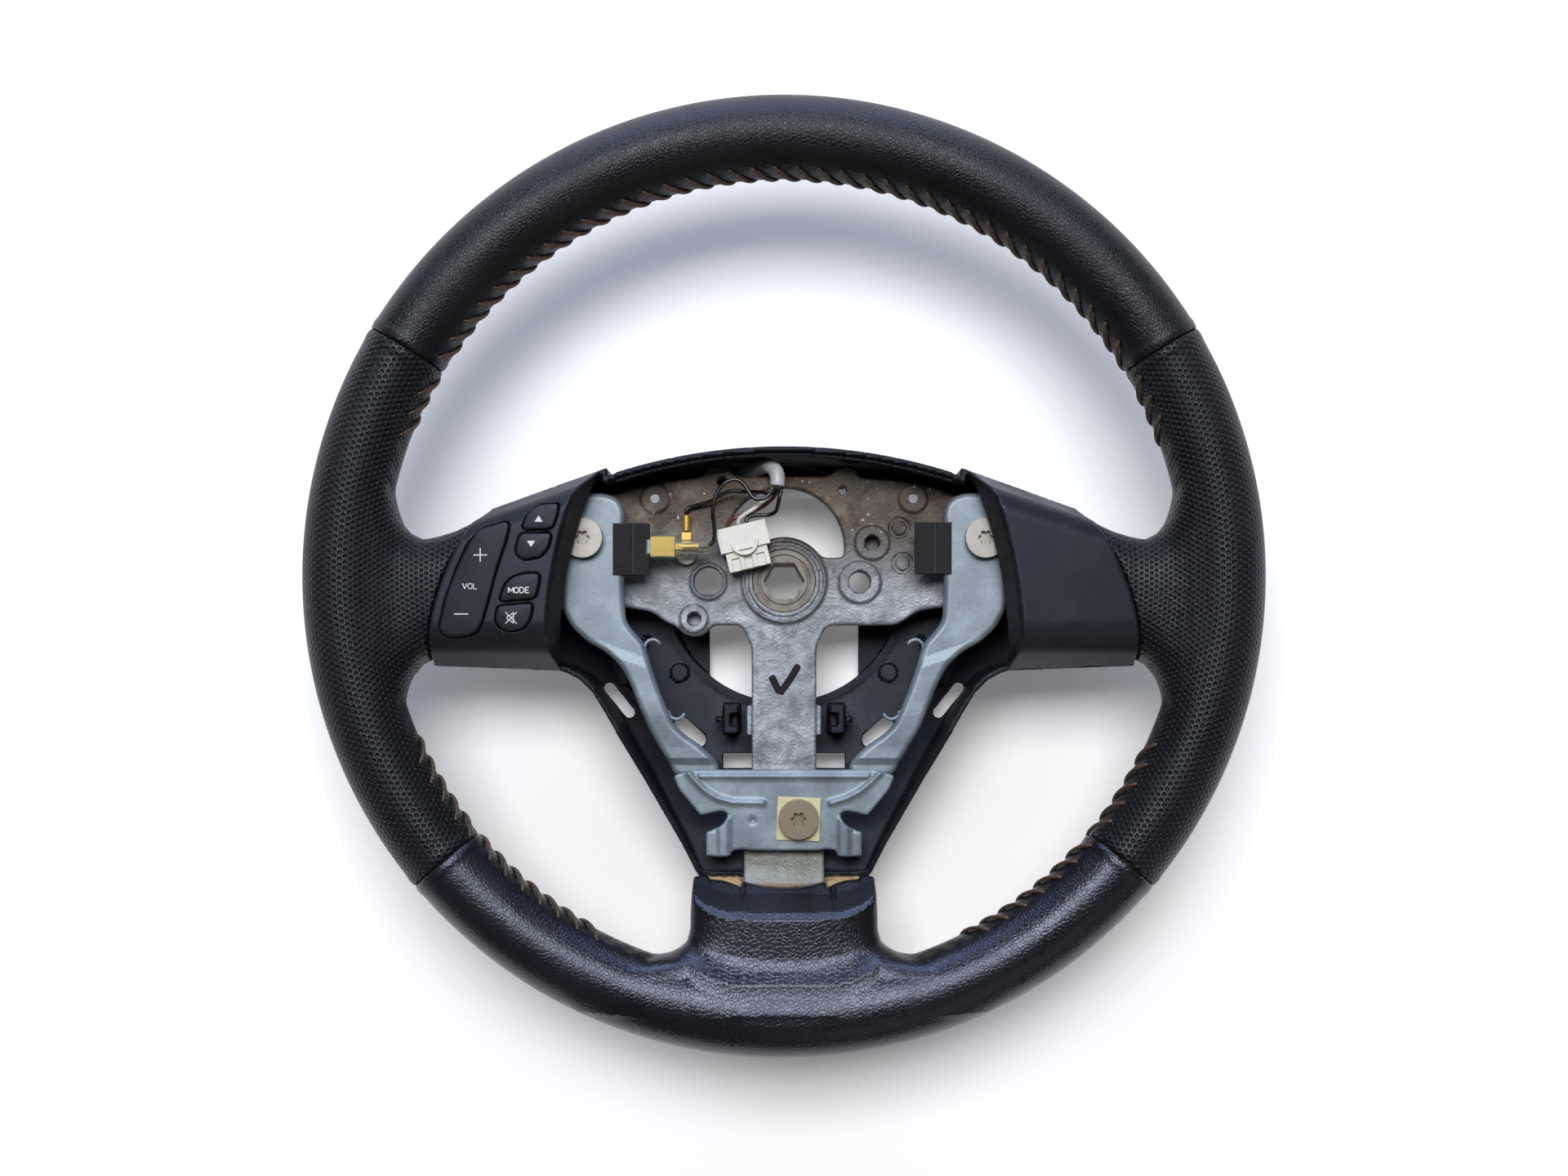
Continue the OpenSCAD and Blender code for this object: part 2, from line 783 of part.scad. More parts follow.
module switch_board() {
    color([0.1, 0.3, 0.2])
        on_left_face()
        difference() {
            translate([0, 0, tray_top + 0.3])
                linear_extrude(height = board_top - tray_top - 0.3)
                switch_area(2);
            post_holes();
        }
}

module switch_housing() {
    wall = 1.5;
    color([0.2, 0.2, 0.21])
        on_left_face()
        difference() {
            union() {
                difference() {
                    translate([0, 0, tray_floor])
                        linear_extrude(height = dome_top - fit - tray_floor)
                        switch_area(0);
                    translate([0, 0, tray_top])
                        linear_extrude(height = through)
                        offset(delta = -wall)
                        switch_area(0);
                }
                rocker_frame()
                    for (x = [-5.2, 5.2])
                        translate([x - 1.1, -2.6, tray_floor - rocker_axis_z + 0.5])
                            cube([2.2, 5.2, rocker_axis_z - tray_floor + 0.8]);
                for (at = pillars)
                    translate([at[0], at[1], tray_floor + 0.5])
                        cylinder(d = 2.2, h = -cover_t - fit - tray_floor - 0.5, $fn = small);
            }
            rocker_frame()
                translate([-10, 0, 0])
                rotate([0, 90, 0])
                cylinder(d = 3.2, h = 20);
            rocker_frame() translate([-4, -3.5, 0]) cube([8, 7, 12]);
        }
}

arm_outer = [[-83.9, -19], [-77.7, -24.7], [-70.3, -28.7], [-64.2, -34.6], [-60.4, -42],
    [-57.5, -49.4], [-53.8, -58.4], [-49.6, -65.9], [-46.1, -71.2], [-43.5, -77.5]];
arm_inner = [[-25.7, -72.6], [-32.5, -65.9], [-39.3, -61.4], [-43.5, -57.2], [-45.1, -53.6],
    [-49, -44.5], [-52.6, -33.8], [-55.1, -25.2], [-58.4, -21.8], [-62.6, -16.5],
    [-63.2, -3.5], [-62.9, 22.3]];
arm_lobe = [[-62.5, 26], [-64.8, 31.6], [-70.5, 34], [-80, 34], [-85.6, 31.6], [-88, 26],
    [-88, -11]];
joggle_y = -72.6;

module bracket_outline() {
    polygon(concat(arm_outer, [[-36, joggle_y - 6], [-25.7, joggle_y - 6]], arm_inner, arm_lobe));
}

module above_joggle(y) {
    translate([-150, y]) square(300);
}

// A pressed channel of sheet steel, with a tongue that steps down under the lower plate
module bracket_arm() {
    difference() {
        union() {
            difference() {
                translate([0, 0, horn_z - flange_h])
                    linear_extrude(height = flange_h + sheet_t)
                    intersection() {
                        bracket_outline();
                        above_joggle(joggle_y);
                    }
                translate([0, 0, horn_z - flange_h - 1])
                    linear_extrude(height = flange_h + 1)
                    offset(delta = -sheet_t)
                    bracket_outline();
            }
            translate([0, 0, horn_z - sheet_t - fit])
                linear_extrude(height = sheet_t)
                difference() {
                    bracket_outline();
                    above_joggle(joggle_y + sheet_t);
                }
            translate([0, 0, horn_z - sheet_t - fit])
                linear_extrude(height = 2 * sheet_t + fit)
                intersection() {
                    bracket_outline();
                    translate([-100, joggle_y]) square([100, sheet_t]);
                }
            translate([-63.5, 3.5, horn_z]) cube([9.5, 16.5, sheet_t]);
        }
        translate([-upper_seat[0], upper_seat[1], 0]) cylinder(r = bush_neck + fit, h = through);
    }
}

// Small curled hooks that stand on the arms' inner edges
module arm_hook(at, start, sweep) {
    translate([at[0], at[1], horn_z - 3])
        rotate([0, 0, start])
        rotate_extrude(angle = sweep, $fn = 32)
        translate([2.6, 0])
        square([1.2, 3]);
}

module bracket_arm_left() {
    color([0.6, 0.64, 0.67])
        union() {
            bracket_arm();
            arm_hook([-51.9, -27], 20, 190);
            arm_hook([-42.5, -52], 175, 170);
            translate([-55, 9.6, horn_top - 0.8]) cube([9, 6.3, 0.8]);
        }
}

module bracket_arm_right() {
    color([0.6, 0.64, 0.67])
        mirror([1, 0, 0]) {
            bracket_arm();
            arm_hook([-51.9, -27], 20, 190);
            arm_hook([-42.5, -52], 175, 170);
        }
}

plate_half = [[36, -75], [43.8, -77.4], [41.4, -83], [32.8, -93.2], [27.8, -91.9],
    [23.8, -91.3], [22.2, -92.8], [22.8, -94.6], [24.8, -97.2], [29.1, -99], [30.3, -100.3],
    [30, -108.2], [28.4, -109.4], [21, -109.2], [20.4, -106.8], [15.5, -106.4], [14.2, -106.9]];

module bead(points, w, h) {
    for (i = [0:len(points) - 2])
        hull()
            for (p = [points[i], points[i + 1]])
                translate([p[0], p[1], horn_top - 0.2])
                    cylinder(d1 = w, d2 = w - 1, h = h + 0.2, $fn = 12);
}

module bracket_lower_plate() {
    left_bead = [[-35.1, -77], [-33.2, -80], [-29.9, -83.6], [-25.2, -86.7], [-20.6, -88],
        [-8.4, -88.1]];
    right_bead = [[36.1, -77], [32.7, -80], [28.8, -84.3], [24.2, -86.6], [18.6, -88.3]];
    color([0.6, 0.64, 0.67])
        difference() {
            union() {
                translate([0, 0, horn_z])
                    linear_extrude(height = sheet_t)
                    polygon(concat(mirrored(plate_half), plate_half));
                bead([[-31, -77.4], [31, -77.4]], 3, 0.7);
                bead(left_bead, 2.6, 0.7);
                bead(right_bead, 2.6, 0.7);
                translate([-24.5, -75 - sheet_t, horn_z - 1.2]) cube([49, sheet_t, 1.4]);
            }
            translate([lower_seat[0], lower_seat[1], 0]) cylinder(r = bush_neck + fit, h = through);
            translate([-12.4, -95, horn_top - 0.8]) cylinder(d1 = 1, d2 = 3, h = 1, $fn = small);
        }
}

// Each bushing's skirt guides its spring and stops the horn plate on the seat
module insulating_bushings() {
    color([0.88, 0.86, 0.7])
        for (at = seats)
            translate([at[0], at[1], 0])
            difference() {
                union() {
                    translate([0, 0, horn_z - bush_lip]) cylinder(r = bush_neck + 1.4, h = bush_lip);
                    translate([0, 0, skirt_z]) cylinder(r = bush_neck, h = horn_top - skirt_z + 0.1);
                    if (at == lower_seat) {
                        translate([0, 0, horn_top])
                            rotate([0, 0, -2])
                            translate([-8.5, -8.5, 0])
                            cube([17, 17, bush_flange]);
                    } else {
                        translate([0, 0, horn_top]) cylinder(r = bush_neck + 1.8, h = bush_flange);
                    }
                }
                cylinder(r = bush_bore, h = through);
            }
}

module six_lobe(d) {
    circle(d = d * 0.75, $fn = small);
    for (a = [0:60:300])
        rotate(a) translate([d * 0.37, 0]) circle(d = d * 0.3, $fn = small);
}

module horn_plate_screws() {
    color([0.66, 0.64, 0.6])
        for (at = seats)
            translate([at[0], at[1], 0])
            difference() {
                union() {
                    translate([0, 0, head_z]) cylinder(d = head_d, h = head_h);
                    translate([0, 0, seat_z]) cylinder(d = shoulder_d, h = head_z - seat_z + 0.2);
                    translate([0, 0, plate_z - 3]) cylinder(d = 6, h = seat_z - plate_z + 3.5);
                }
                translate([0, 0, head_top - 2.2])
                    linear_extrude(height = 4)
                    six_lobe(5.6);
            }
}

module horn_springs() {
    steps = 10;
    low = seat_z + spring_wire / 2;
    rise = horn_z - bush_lip - seat_z - spring_wire;
    count = ceil(spring_turns * steps);
    color([0.7, 0.7, 0.72])
        for (at = seats)
            tube([for (i = [0:count]) let (a = 360 * spring_turns * i / count)
                [at[0] + spring_r * cos(a), at[1] + spring_r * sin(a), low + rise * i / count]],
                spring_wire, 6);
}

// Fabric tape folded round the end of each bracket tab
module tape_pad() {
    tape = 0.9;
    translate([-67.3, 1.7, horn_top + fit]) cube([13.8, 20.2, tape]);
    translate([-53.9, 1.7, horn_z - fit - tape]) cube([0.9, 20.2, sheet_t + 2 * fit + 2 * tape]);
    translate([-62.4, 1.7, horn_z - fit - tape]) cube([8.9, 20.2, tape]);
}

module tape_pads() {
    color([0.08, 0.08, 0.09])
        difference() {
            union() {
                tape_pad();
                translate([-1.4, 0.4, 0]) mirror([1, 0, 0]) tape_pad();
            }
            translate([-54.4, 9.2, horn_z - 1]) cube([3, 7.1, 4]);
        }
}

module horn_terminal() {
    color([0.78, 0.62, 0.25])
        difference() {
            union() {
                translate([-52.6, 8.9, horn_top - 1.7]) cube([9.6, 7.7, 2.6]);
                translate([-43.1, 11.6, horn_top - 1.2]) cube([3.5, 2.3, 1.6]);
                translate([-40, 12.75, horn_top - 0.4]) rotate([0, 90, 0]) cylinder(d = 3.4, h = 6.4);
            }
            translate([-56, 9.4, horn_top - 1]) cube([11, 6.7, 1.2]);
            translate([-35.6, 12.75, horn_top - 0.7]) rotate([0, 90, 0]) cylinder(d = 2.2, h = 4);
        }
}

module terminal_sleeve() {
    color([0.8, 0.85, 0.75], 0.5)
        difference() {
            union() {
                translate([-52.6, 8.3, horn_top - 2.3]) cube([10.6, 8.9, 3.8]);
                translate([-42.2, 12.75, horn_top - 0.3]) rotate([0, 90, 0]) cylinder(d = 5.4, h = 12.6);
            }
            translate([-54, 8.8, horn_top - 1.8]) cube([12.2, 7.9, 2.8]);
            translate([-43, 12.75, horn_top - 0.3]) rotate([0, 90, 0]) cylinder(d = 4.2, h = 16);
        }
}

module ground_terminal() {
    color([0.75, 0.58, 0.2])
        difference() {
            union() {
                translate([ground_at[0], ground_at[1], plate_z + fit]) cylinder(d = 8, h = 0.9);
                translate([ground_at[0] - 1.5, ground_at[1], plate_z + fit]) cube([3, 13, 0.9]);
                translate([ground_at[0] - 1.9, ground_at[1] + 6, plate_z + fit]) cube([3.8, 3, 2]);
                translate([ground_at[0], ground_at[1] + 9.6, plate_z + 1.6])
                    rotate([-90, 0, 0])
                    cylinder(d = 3.2, h = 6.2);
            }
            translate([ground_at[0], ground_at[1], 0]) cylinder(d = 4.3, h = through, $fn = small);
        }
}

module ground_screw() {
    color([0.6, 0.6, 0.6])
        translate([ground_at[0], ground_at[1], 0])
        difference() {
            union() {
                translate([0, 0, plate_z + 1 + 2 * fit]) cylinder(d = 8, h = 2.6);
                translate([0, 0, plate_z - 8]) cylinder(d = 4, h = 10, $fn = small);
            }
            translate([0, 0, plate_z + 2.2])
                linear_extrude(height = 3)
                union() {
                    square([4.4, 1], center = true);
                    square([1, 4.4], center = true);
                }
        }
}

plug_at = [-15.3, 13.2];
plug_turn = 13.6;
plug_z = plate_z + 1.5 + seat_gap;

module plug_frame() {
    translate([plug_at[0], plug_at[1], plug_z])
        rotate([0, 0, plug_turn])
        children();
}

module connector_housing() {
    color([0.92, 0.91, 0.86])
        plug_frame()
        difference() {
            union() {
                translate([-plug_w / 2, -1, 0]) cube([plug_w, plug_l / 2 + 1, plug_h]);
                translate([-plug_w / 2 + 1.6, -plug_l / 2, 0.6])
                    cube([plug_w - 3.2, plug_l / 2, plug_h - 1.8]);
                translate([0, 2, plug_h - 0.5])
                    difference() {
                        cylinder(d = 11, h = 1.5);
                        translate([0, 0, -1]) cylinder(d = 8.6, h = 4);
                        translate([-6, 0, -1]) cube([12, 8, 4]);
                    }
            }
            for (x = [-6, -2, 2, 6], z = [2.4, 6.6])
                translate([x - 1.2, plug_l / 2 - 3, z - 1.2]) cube([2.4, 4, 2.4]);
            for (x = [-5, 0, 5])
                translate([x - 1.6, -plug_l / 2 - 1, plug_h - 2.2]) cube([3.2, 6, 2]);
            translate([-4.5, -plug_l / 2 - 1, 2.4]) cube([9, 5, 3]);
        }
}

// Routes of the harness, chosen by hand
sheath_route = [[-97.4, 19, 57.6], [-96.8, 20.4, 51], [-95.4, 24, 43], [-93, 27, 35],
    [-87.5, 28.5, 26.6], [-80, 28, 22.6], [-71, 25, 19.4], [-60, 22.6, 17.8], [-49, 22.6, 17.4],
    [-39.5, 27.5, 17.4], [-31.5, 34.5, 17.4], [-24, 40.5, 18.2], [-17.5, 44, 20.8],
    [-12.5, 45.7, 25], [-9.8, 45.75, 30], [-7.4, 45.7, 36], [-5.4, 45, 40.5],
    [-3.3, 42.8, 43.2], [-2.5, 39.8, 44], [-2.8, 36.8, 44]];
white_route = [[-4.4, 36.4, 42.5], [-4.6, 35.2, 42.4], [-5.8, 33.4, 42], [-8.5, 30.8, 42.2],
    [-12, 28, 42.4], [-15.6, 25.8, 42], [-17.8, 24, 41.2], [-18.3, 21.95, 40.4]];
brown_route = [[-2.7, 36.4, 42.5], [-2.9, 35.1, 42.2], [-4.2, 32.6, 40.6], [-8.5, 29.2, 38.8],
    [-14, 26.8, 37.8], [-19.5, 24.9, 37.2], [-21.6, 23, 36.8], [-22.1, 21.05, 36.5]];
black_route = [[-1.1, 36.4, 42.7], [-1.2, 35, 42.8], [-1.8, 32.6, 43], [-2.4, 29.6, 42.4],
    [-3.4, 27, 40.8], [-6.4, 25.8, 39.8], [-10.4, 25.8, 39.6], [-13.2, 25.3, 39.8],
    [-14.7, 24.3, 40.1], [-14.9, 22.6, 40.3]];
horn_route = [[-3.7, 36.4, 45.9], [-4.2, 35, 46.4], [-6, 32.8, 47.3], [-8.7, 31.4, 47.6],
    [-11.6, 31.6, 47.6], [-13.8, 34.2, 47.2], [-15.8, 37.2, 47], [-18.6, 38.9, 47],
    [-22.4, 38.2, 47], [-25.8, 34.8, 46.6], [-27.6, 30, 46.4], [-28, 25, 46],
    [-27.3, 19.2, 45.5], [-27.9, 14.9, 45.1], [-30.4, 13, 44.9], [-33.2, 12.8, 44.8]];
ground_route = [[-1.7, 36.4, 45.2], [-2.1, 35.1, 44.9], [-3.6, 33.9, 44.3], [-6.4, 33.9, 43.9],
    [-9.4, 34.6, 42.4], [-12.4, 34.9, 40.4], [-15.5, 35.2, 38.4], [-20.8, 35.6, 37.4],
    [-24.7, 34.4, 36.6], [-28.7, 32, 35.8], [-33.8, 30.4, 34.6], [-37.6, 29.4, 33.8],
    [-39.1, 28, 33.7], [-39.1, 26.45, 33.6]];

module harness_sheath() {
    color([0.82, 0.83, 0.82])
        tube(sheath_route, sheath_d, 10);
}

module wire_white() {
    color([0.9, 0.88, 0.85])
        tube(white_route, wire_d);
}

module wire_brown() {
    color([0.4, 0.2, 0.12])
        tube(brown_route, wire_d);
}

module wire_black() {
    color([0.08, 0.08, 0.08])
        tube(black_route, wire_d);
}

module wire_horn() {
    color([0.08, 0.08, 0.08])
        tube(horn_route, wire_d);
}

module wire_ground() {
    color([0.08, 0.08, 0.08])
        tube(ground_route, wire_d);
}

armature();
hub_sleeve();
rim_ring();
rim_foam();
leather_top();
leather_left();
leather_right();
leather_bottom();
rear_cover();
rear_cover_screws();
spoke_cover_left();
spoke_cover_right();
volume_rocker();
seek_up_button();
seek_down_button();
mode_button();
mute_button();
keypad_mat();
switch_board();
switch_housing();
bracket_arm_left();
bracket_arm_right();
bracket_lower_plate();
insulating_bushings();
horn_plate_screws();
horn_springs();
tape_pads();
horn_terminal();
terminal_sleeve();
ground_terminal();
ground_screw();
connector_housing();
harness_sheath();
wire_white();
wire_brown();
wire_black();
wire_horn();
wire_ground();
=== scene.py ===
"""A leather-rimmed car steering wheel with its airbag taken out, dressed over its CAD frame.

X points to the driver's right, Y to the top of the wheel and Z to the driver. Sizes are in
millimetres, and they become metres where a mesh is made.
"""

import bpy
import numpy as np
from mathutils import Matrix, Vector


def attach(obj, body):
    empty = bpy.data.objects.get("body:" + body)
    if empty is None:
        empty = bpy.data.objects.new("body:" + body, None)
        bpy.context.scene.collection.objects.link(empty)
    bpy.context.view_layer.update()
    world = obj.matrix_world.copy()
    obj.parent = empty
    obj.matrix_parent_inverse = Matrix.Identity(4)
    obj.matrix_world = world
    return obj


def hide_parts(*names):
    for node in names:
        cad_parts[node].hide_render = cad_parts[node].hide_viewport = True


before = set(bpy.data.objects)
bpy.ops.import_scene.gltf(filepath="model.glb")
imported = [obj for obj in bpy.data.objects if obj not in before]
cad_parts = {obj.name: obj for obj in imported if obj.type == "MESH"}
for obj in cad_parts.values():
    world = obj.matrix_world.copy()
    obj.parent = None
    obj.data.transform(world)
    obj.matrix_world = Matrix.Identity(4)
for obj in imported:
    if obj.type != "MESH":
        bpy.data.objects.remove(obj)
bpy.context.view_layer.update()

# Camera: it looks straight down at the wheel, as the photograph does, from 650 mm above
# the rim's middle plane and from a point 38 mm nearer to the bottom of the wheel.
RIM_Z = 60.0
CAMERA_HEIGHT = 650.0
CAMERA_DROP = 38.0
FOCAL_PX = 2066.0
FRAME_W = 1920
FRAME_H = 1440
AXIS_ROW = 706.5

lens_row = AXIS_ROW + FOCAL_PX * CAMERA_DROP / CAMERA_HEIGHT
camera_data = bpy.data.cameras.new("camera")
camera_data.sensor_width = 36
camera_data.lens = camera_data.sensor_width * FOCAL_PX / FRAME_W
camera_data.shift_y = (lens_row - FRAME_H / 2) / FRAME_W
camera = bpy.data.objects.new("camera", camera_data)
camera.location = (0, -CAMERA_DROP / 1000, (RIM_Z + CAMERA_HEIGHT) / 1000)
bpy.context.scene.collection.objects.link(camera)
bpy.context.scene.camera = camera
bpy.context.scene.view_settings.view_transform = "Standard"

# Floor, world and lamps: a plain white floor that keeps the wheel's soft shadow, a dim
# room, a softbox overhead, a low blue one past the top of the wheel and a weak warm one
# from below it. Lengths here are in metres.
FLOOR_HALF = 4.0
GLOW_NEAR = (0.16, 0.14)
GLOW_FAR = (1.6, 1.0)
AIM = (0, 0, 0.05)


def linear(colour):
    """The linear colour of an sRGB hex value."""
    c = np.array([int(colour[i:i + 2], 16) / 255 for i in (1, 3, 5)])
    return (*np.where(c <= 0.04045, c / 12.92, ((c + 0.055) / 1.055) ** 2.4), 1.0)


def feed(tree, node, inputs):
    """Sets a node's inputs, by name or number, to a value, an sRGB hex or another's socket."""
    for key, value in inputs.items():
        if isinstance(value, bpy.types.NodeSocket):
            tree.links.new(value, node.inputs[key])
        else:
            node.inputs[key].default_value = linear(value) if isinstance(value, str) else value


def add(tree, kind, inputs, **settings):
    """Adds a shader node with its settings and its inputs."""
    made = tree.nodes.new("ShaderNode" + kind)
    for name, value in settings.items():
        setattr(made, name, value)
    feed(tree, made, inputs)
    return made


def maths(tree, operation, *values):
    """The result of a sum on numbers or sockets."""
    return add(tree, "Math", dict(enumerate(values)), operation=operation).outputs[0]


def white_to_camera(tree, shader, strength):
    """Adds a plain white glow to a shader, for rays from the camera, gloss and glass."""
    rays = add(tree, "LightPath", {}).outputs
    seen = maths(tree, "MAXIMUM", rays["Is Camera Ray"], rays["Is Glossy Ray"])
    seen = maths(tree, "MAXIMUM", seen, rays["Is Transmission Ray"])
    glow = add(tree, "Emission", {"Color": "#ffffff",
                                  "Strength": maths(tree, "MULTIPLY", seen, strength)})
    return add(tree, "AddShader", {0: shader.outputs[0], 1: glow.outputs[0]}).outputs[0]


floor_mesh = bpy.data.meshes.new("floor")
floor_mesh.from_pydata([(x * FLOOR_HALF, y * FLOOR_HALF, 0)
                        for x, y in ((-1, -1), (1, -1), (1, 1), (-1, 1))], [], [(0, 1, 2, 3)])
floor = bpy.data.objects.new("floor", floor_mesh)
bpy.context.scene.collection.objects.link(floor)
paint = bpy.data.materials.new("white_studio_floor")
paint.use_nodes = True
tree = paint.node_tree
tree.nodes.clear()
matt = add(tree, "BsdfDiffuse", {"Color": "#f8f8f8"})
away = add(tree, "VectorMath", {0: add(tree, "TexCoord", {}).outputs["Object"]},
           operation="LENGTH").outputs["Value"]
glow = add(tree, "MapRange", {"Value": away, "From Min": GLOW_NEAR[0], "From Max": GLOW_FAR[0],
                              "To Min": GLOW_NEAR[1], "To Max": GLOW_FAR[1]}).outputs[0]
add(tree, "OutputMaterial", {0: white_to_camera(tree, matt, glow)})
floor_mesh.materials.append(paint)

world = bpy.data.worlds.new("pale_room")
bpy.context.scene.world = world
world.use_nodes = True
tree = world.node_tree
tree.nodes.clear()
room = add(tree, "Background", {"Color": "#dfe4ec", "Strength": 0.08})
white = add(tree, "Background", {"Color": "#ffffff", "Strength": 1.0})
seen = add(tree, "MixShader", {0: add(tree, "LightPath", {}).outputs["Is Camera Ray"],
                               1: room.outputs[0], 2: white.outputs[0]})
add(tree, "OutputWorld", {0: seen.outputs[0]})


def softbox(name, at, size, power, colour):
    """A rectangular lamp that faces the wheel."""
    data = bpy.data.lights.new(name, "AREA")
    data.shape = "RECTANGLE"
    data.size, data.size_y = size
    data.energy = power
    data.color = linear(colour)[:3]
    lamp = bpy.data.objects.new(name, data)
    lamp.location = at
    aim = Vector(AIM) - Vector(at)
    lamp.rotation_euler = aim.to_track_quat("-Z", "Y").to_euler()
    bpy.context.scene.collection.objects.link(lamp)


softbox("key_softbox", (-0.16, 0.96, 2.55), (1.8, 1.1), 70.0, "#fdfdff")
softbox("sky_softbox", (-0.1, 1.5, 0.5), (1.4, 0.8), 18.0, "#c8d8ff")
softbox("low_softbox", (0.5, -1.0, 0.9), (1.0, 0.6), 1.0, "#fff1e0")

# Rim leathers: four pieces of hide over foam, smooth at the top, perforated at the sides and
# grained at the bottom, glued down, and laced together along the rim's inner edge. The side
# and bottom pieces run inwards over the ends of the spokes.
RIM_R = 169.4
GRIP_R = 15.6
RIM_IN = RIM_R - GRIP_R
SEAM_UP = 31.0
SEAM_DOWN = 40.0
SEAM_GAP = 0.04
SEAM_EDGE = 0.8
STITCH_PITCH = 8.4
EDGE_MIDDLE = (31.6, -38.0)
EDGE_R = 105.5
LEATHER_STEP = 1.2
ROOT_ROUNDNESS = 3.0
HOLE_PITCH = 2.4
HOLE_R = 0.5


def either(a, b, fillet=0.0):
    """The union of two bodies given by their distances, with a fillet of that radius."""
    if not fillet:
        return np.minimum(a, b)
    return np.maximum(fillet, np.minimum(a, b)) - np.hypot(np.maximum(fillet - a, 0),
                                                           np.maximum(fillet - b, 0))


def both(a, b, edge=0.0):
    """What two bodies have in common, with its new edge rounded to that radius."""
    if not edge:
        return np.maximum(a, b)
    return np.minimum(-edge, np.maximum(a, b)) + np.hypot(np.maximum(edge + a, 0),
                                                          np.maximum(edge + b, 0))


def skin(field, low, high, step):
    """Points, quads and normals of the surface where field(x, y, z) is 0.

    Each cell of a grid that the surface crosses gets one point, at the mean of the crossings
    on its edges. The four cells round a crossed grid edge share a quad. Each point then
    slides down the field's slope until it lies on the surface.
    """
    low = np.asarray(low, float)
    counts = np.ceil((np.asarray(high, float) - low) / step).astype(int) + 1
    axes = [low[n] + step * np.arange(counts[n]) for n in range(3)]
    grid = np.broadcast_to(field(axes[0][:, None, None], axes[1][None, :, None],
                                 axes[2][None, None, :]), counts)
    inside = grid < 0
    corners = [np.array((i, j, k)) for i in (0, 1) for j in (0, 1) for k in (0, 1)]
    cells = counts - 1
    filled = sum(inside[i:i + cells[0], j:j + cells[1], k:k + cells[2]].astype(np.int8)
                 for i, j, k in corners)
    crossed = np.argwhere((filled > 0) & (filled < 8))
    number = np.full(cells, -1)
    number[tuple(crossed.T)] = np.arange(len(crossed))
    total = np.zeros((len(crossed), 3))
    hits = np.zeros(len(crossed))
    for axis in range(3):
        unit = np.eye(3, dtype=int)[axis]
        for start in corners:
            if start[axis]:
                continue
            a = grid[tuple((crossed + start).T)]
            b = grid[tuple((crossed + start + unit).T)]
            cuts = (a < 0) != (b < 0)
            share = np.where(cuts, a / np.where(cuts, a - b, 1), 0)
            total += cuts[:, None] * (crossed + start + share[:, None] * unit)
            hits += cuts
    points = low + step * total / hits[:, None]
    quads = []
    for axis in range(3):
        one, first, second = (np.eye(3, dtype=int)[(axis + n) % 3] for n in range(3))
        ends = counts - one
        near = inside[:ends[0], :ends[1], :ends[2]]
        far = inside[one[0]:, one[1]:, one[2]:]
        edges = np.argwhere(near != far)
        kept = np.all((edges >= first + second) & (edges < counts - first - second - one), 1)
        edges = edges[kept]
        ring = np.stack([number[tuple((edges - shift).T)] for shift in
                         (first + second, second, 0 * one, first)], 1)
        outwards = near[tuple(edges.T)]
        quads.append(np.where(outwards[:, None], ring, ring[:, ::-1]))
    quads = np.concatenate(quads)

    def slope(at):
        reach = 0.02 * step
        sides = [(field(*(at + reach * u).T) - field(*(at - reach * u).T)) / (2 * reach)
                 for u in np.eye(3)]
        return np.stack(sides, 1)

    for _ in range(3):
        lean = slope(points)
        move = field(*points.T) / np.maximum((lean ** 2).sum(1), 0.05)
        points -= np.clip(move, -step, step)[:, None] * lean
    lean = slope(points)
    return points, quads, lean / np.maximum(np.linalg.norm(lean, axis=1), 1e-6)[:, None]


def piece(name, points, faces, finish, body, node=None, normals=None, uv=None):
    """An object of these points in millimetres that rides on a body and stands for a node."""
    mesh = bpy.data.meshes.new(name)
    mesh.from_pydata((np.asarray(points) / 1000).tolist(), [],
                     faces.tolist() if isinstance(faces, np.ndarray) else faces)
    mesh.shade_smooth()
    if normals is not None:
        mesh.normals_split_custom_set_from_vertices(normals.tolist())
    if uv is not None:
        layer = mesh.uv_layers.new(name="surface_mm")
        layer.data.foreach_set("uv", np.asarray(uv, np.float32).ravel())
    mesh.materials.append(finish)
    made = bpy.data.objects.new(name, mesh)
    bpy.context.scene.collection.objects.link(made)
    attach(made, body)
    if node:
        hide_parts(node)
    return made


def skinned(name, field, low, high, step, finish, body, node, flip=1):
    """A field's surface as a piece that stands for a node, with its normals.

    It is mirrored in X when flip is -1.
    """
    points, faces, normals = skin(field, low, high, step)
    turn = np.array([flip, 1, 1])
    made = piece(name, points * turn, faces[:, ::flip], finish, body, node,
                 normals=normals * turn)
    return made, normals * turn


def bump(tree, height, depth_mm, before=None):
    """A normal with a height from 0 to 1 that is depth_mm deep, over another one or none."""
    under = {} if before is None else {"Normal": before}
    return add(tree, "Bump", {"Height": height, "Distance": depth_mm / 1000, "Strength": 1.0,
                              **under}).outputs[0]


def shader_of(name):
    """A new material, its tree, its main shader and the object's own coordinates."""
    made = bpy.data.materials.new(name)
    made.use_nodes = True
    tree = made.node_tree
    at = add(tree, "TexCoord", {}).outputs["Object"]
    return made, tree, tree.nodes["Principled BSDF"], at


def ramp(tree, value, *stops):
    """A colour ramp whose stops are (place, sRGB hex)."""
    made = add(tree, "ValToRGB", {0: value})
    marks = made.color_ramp.elements
    for mark, (place, colour) in zip(marks, (stops[0], stops[-1])):
        mark.position = place
        mark.color = linear(colour)
    for place, colour in stops[1:-1]:
        marks.new(place).color = linear(colour)
    return made.outputs[0]


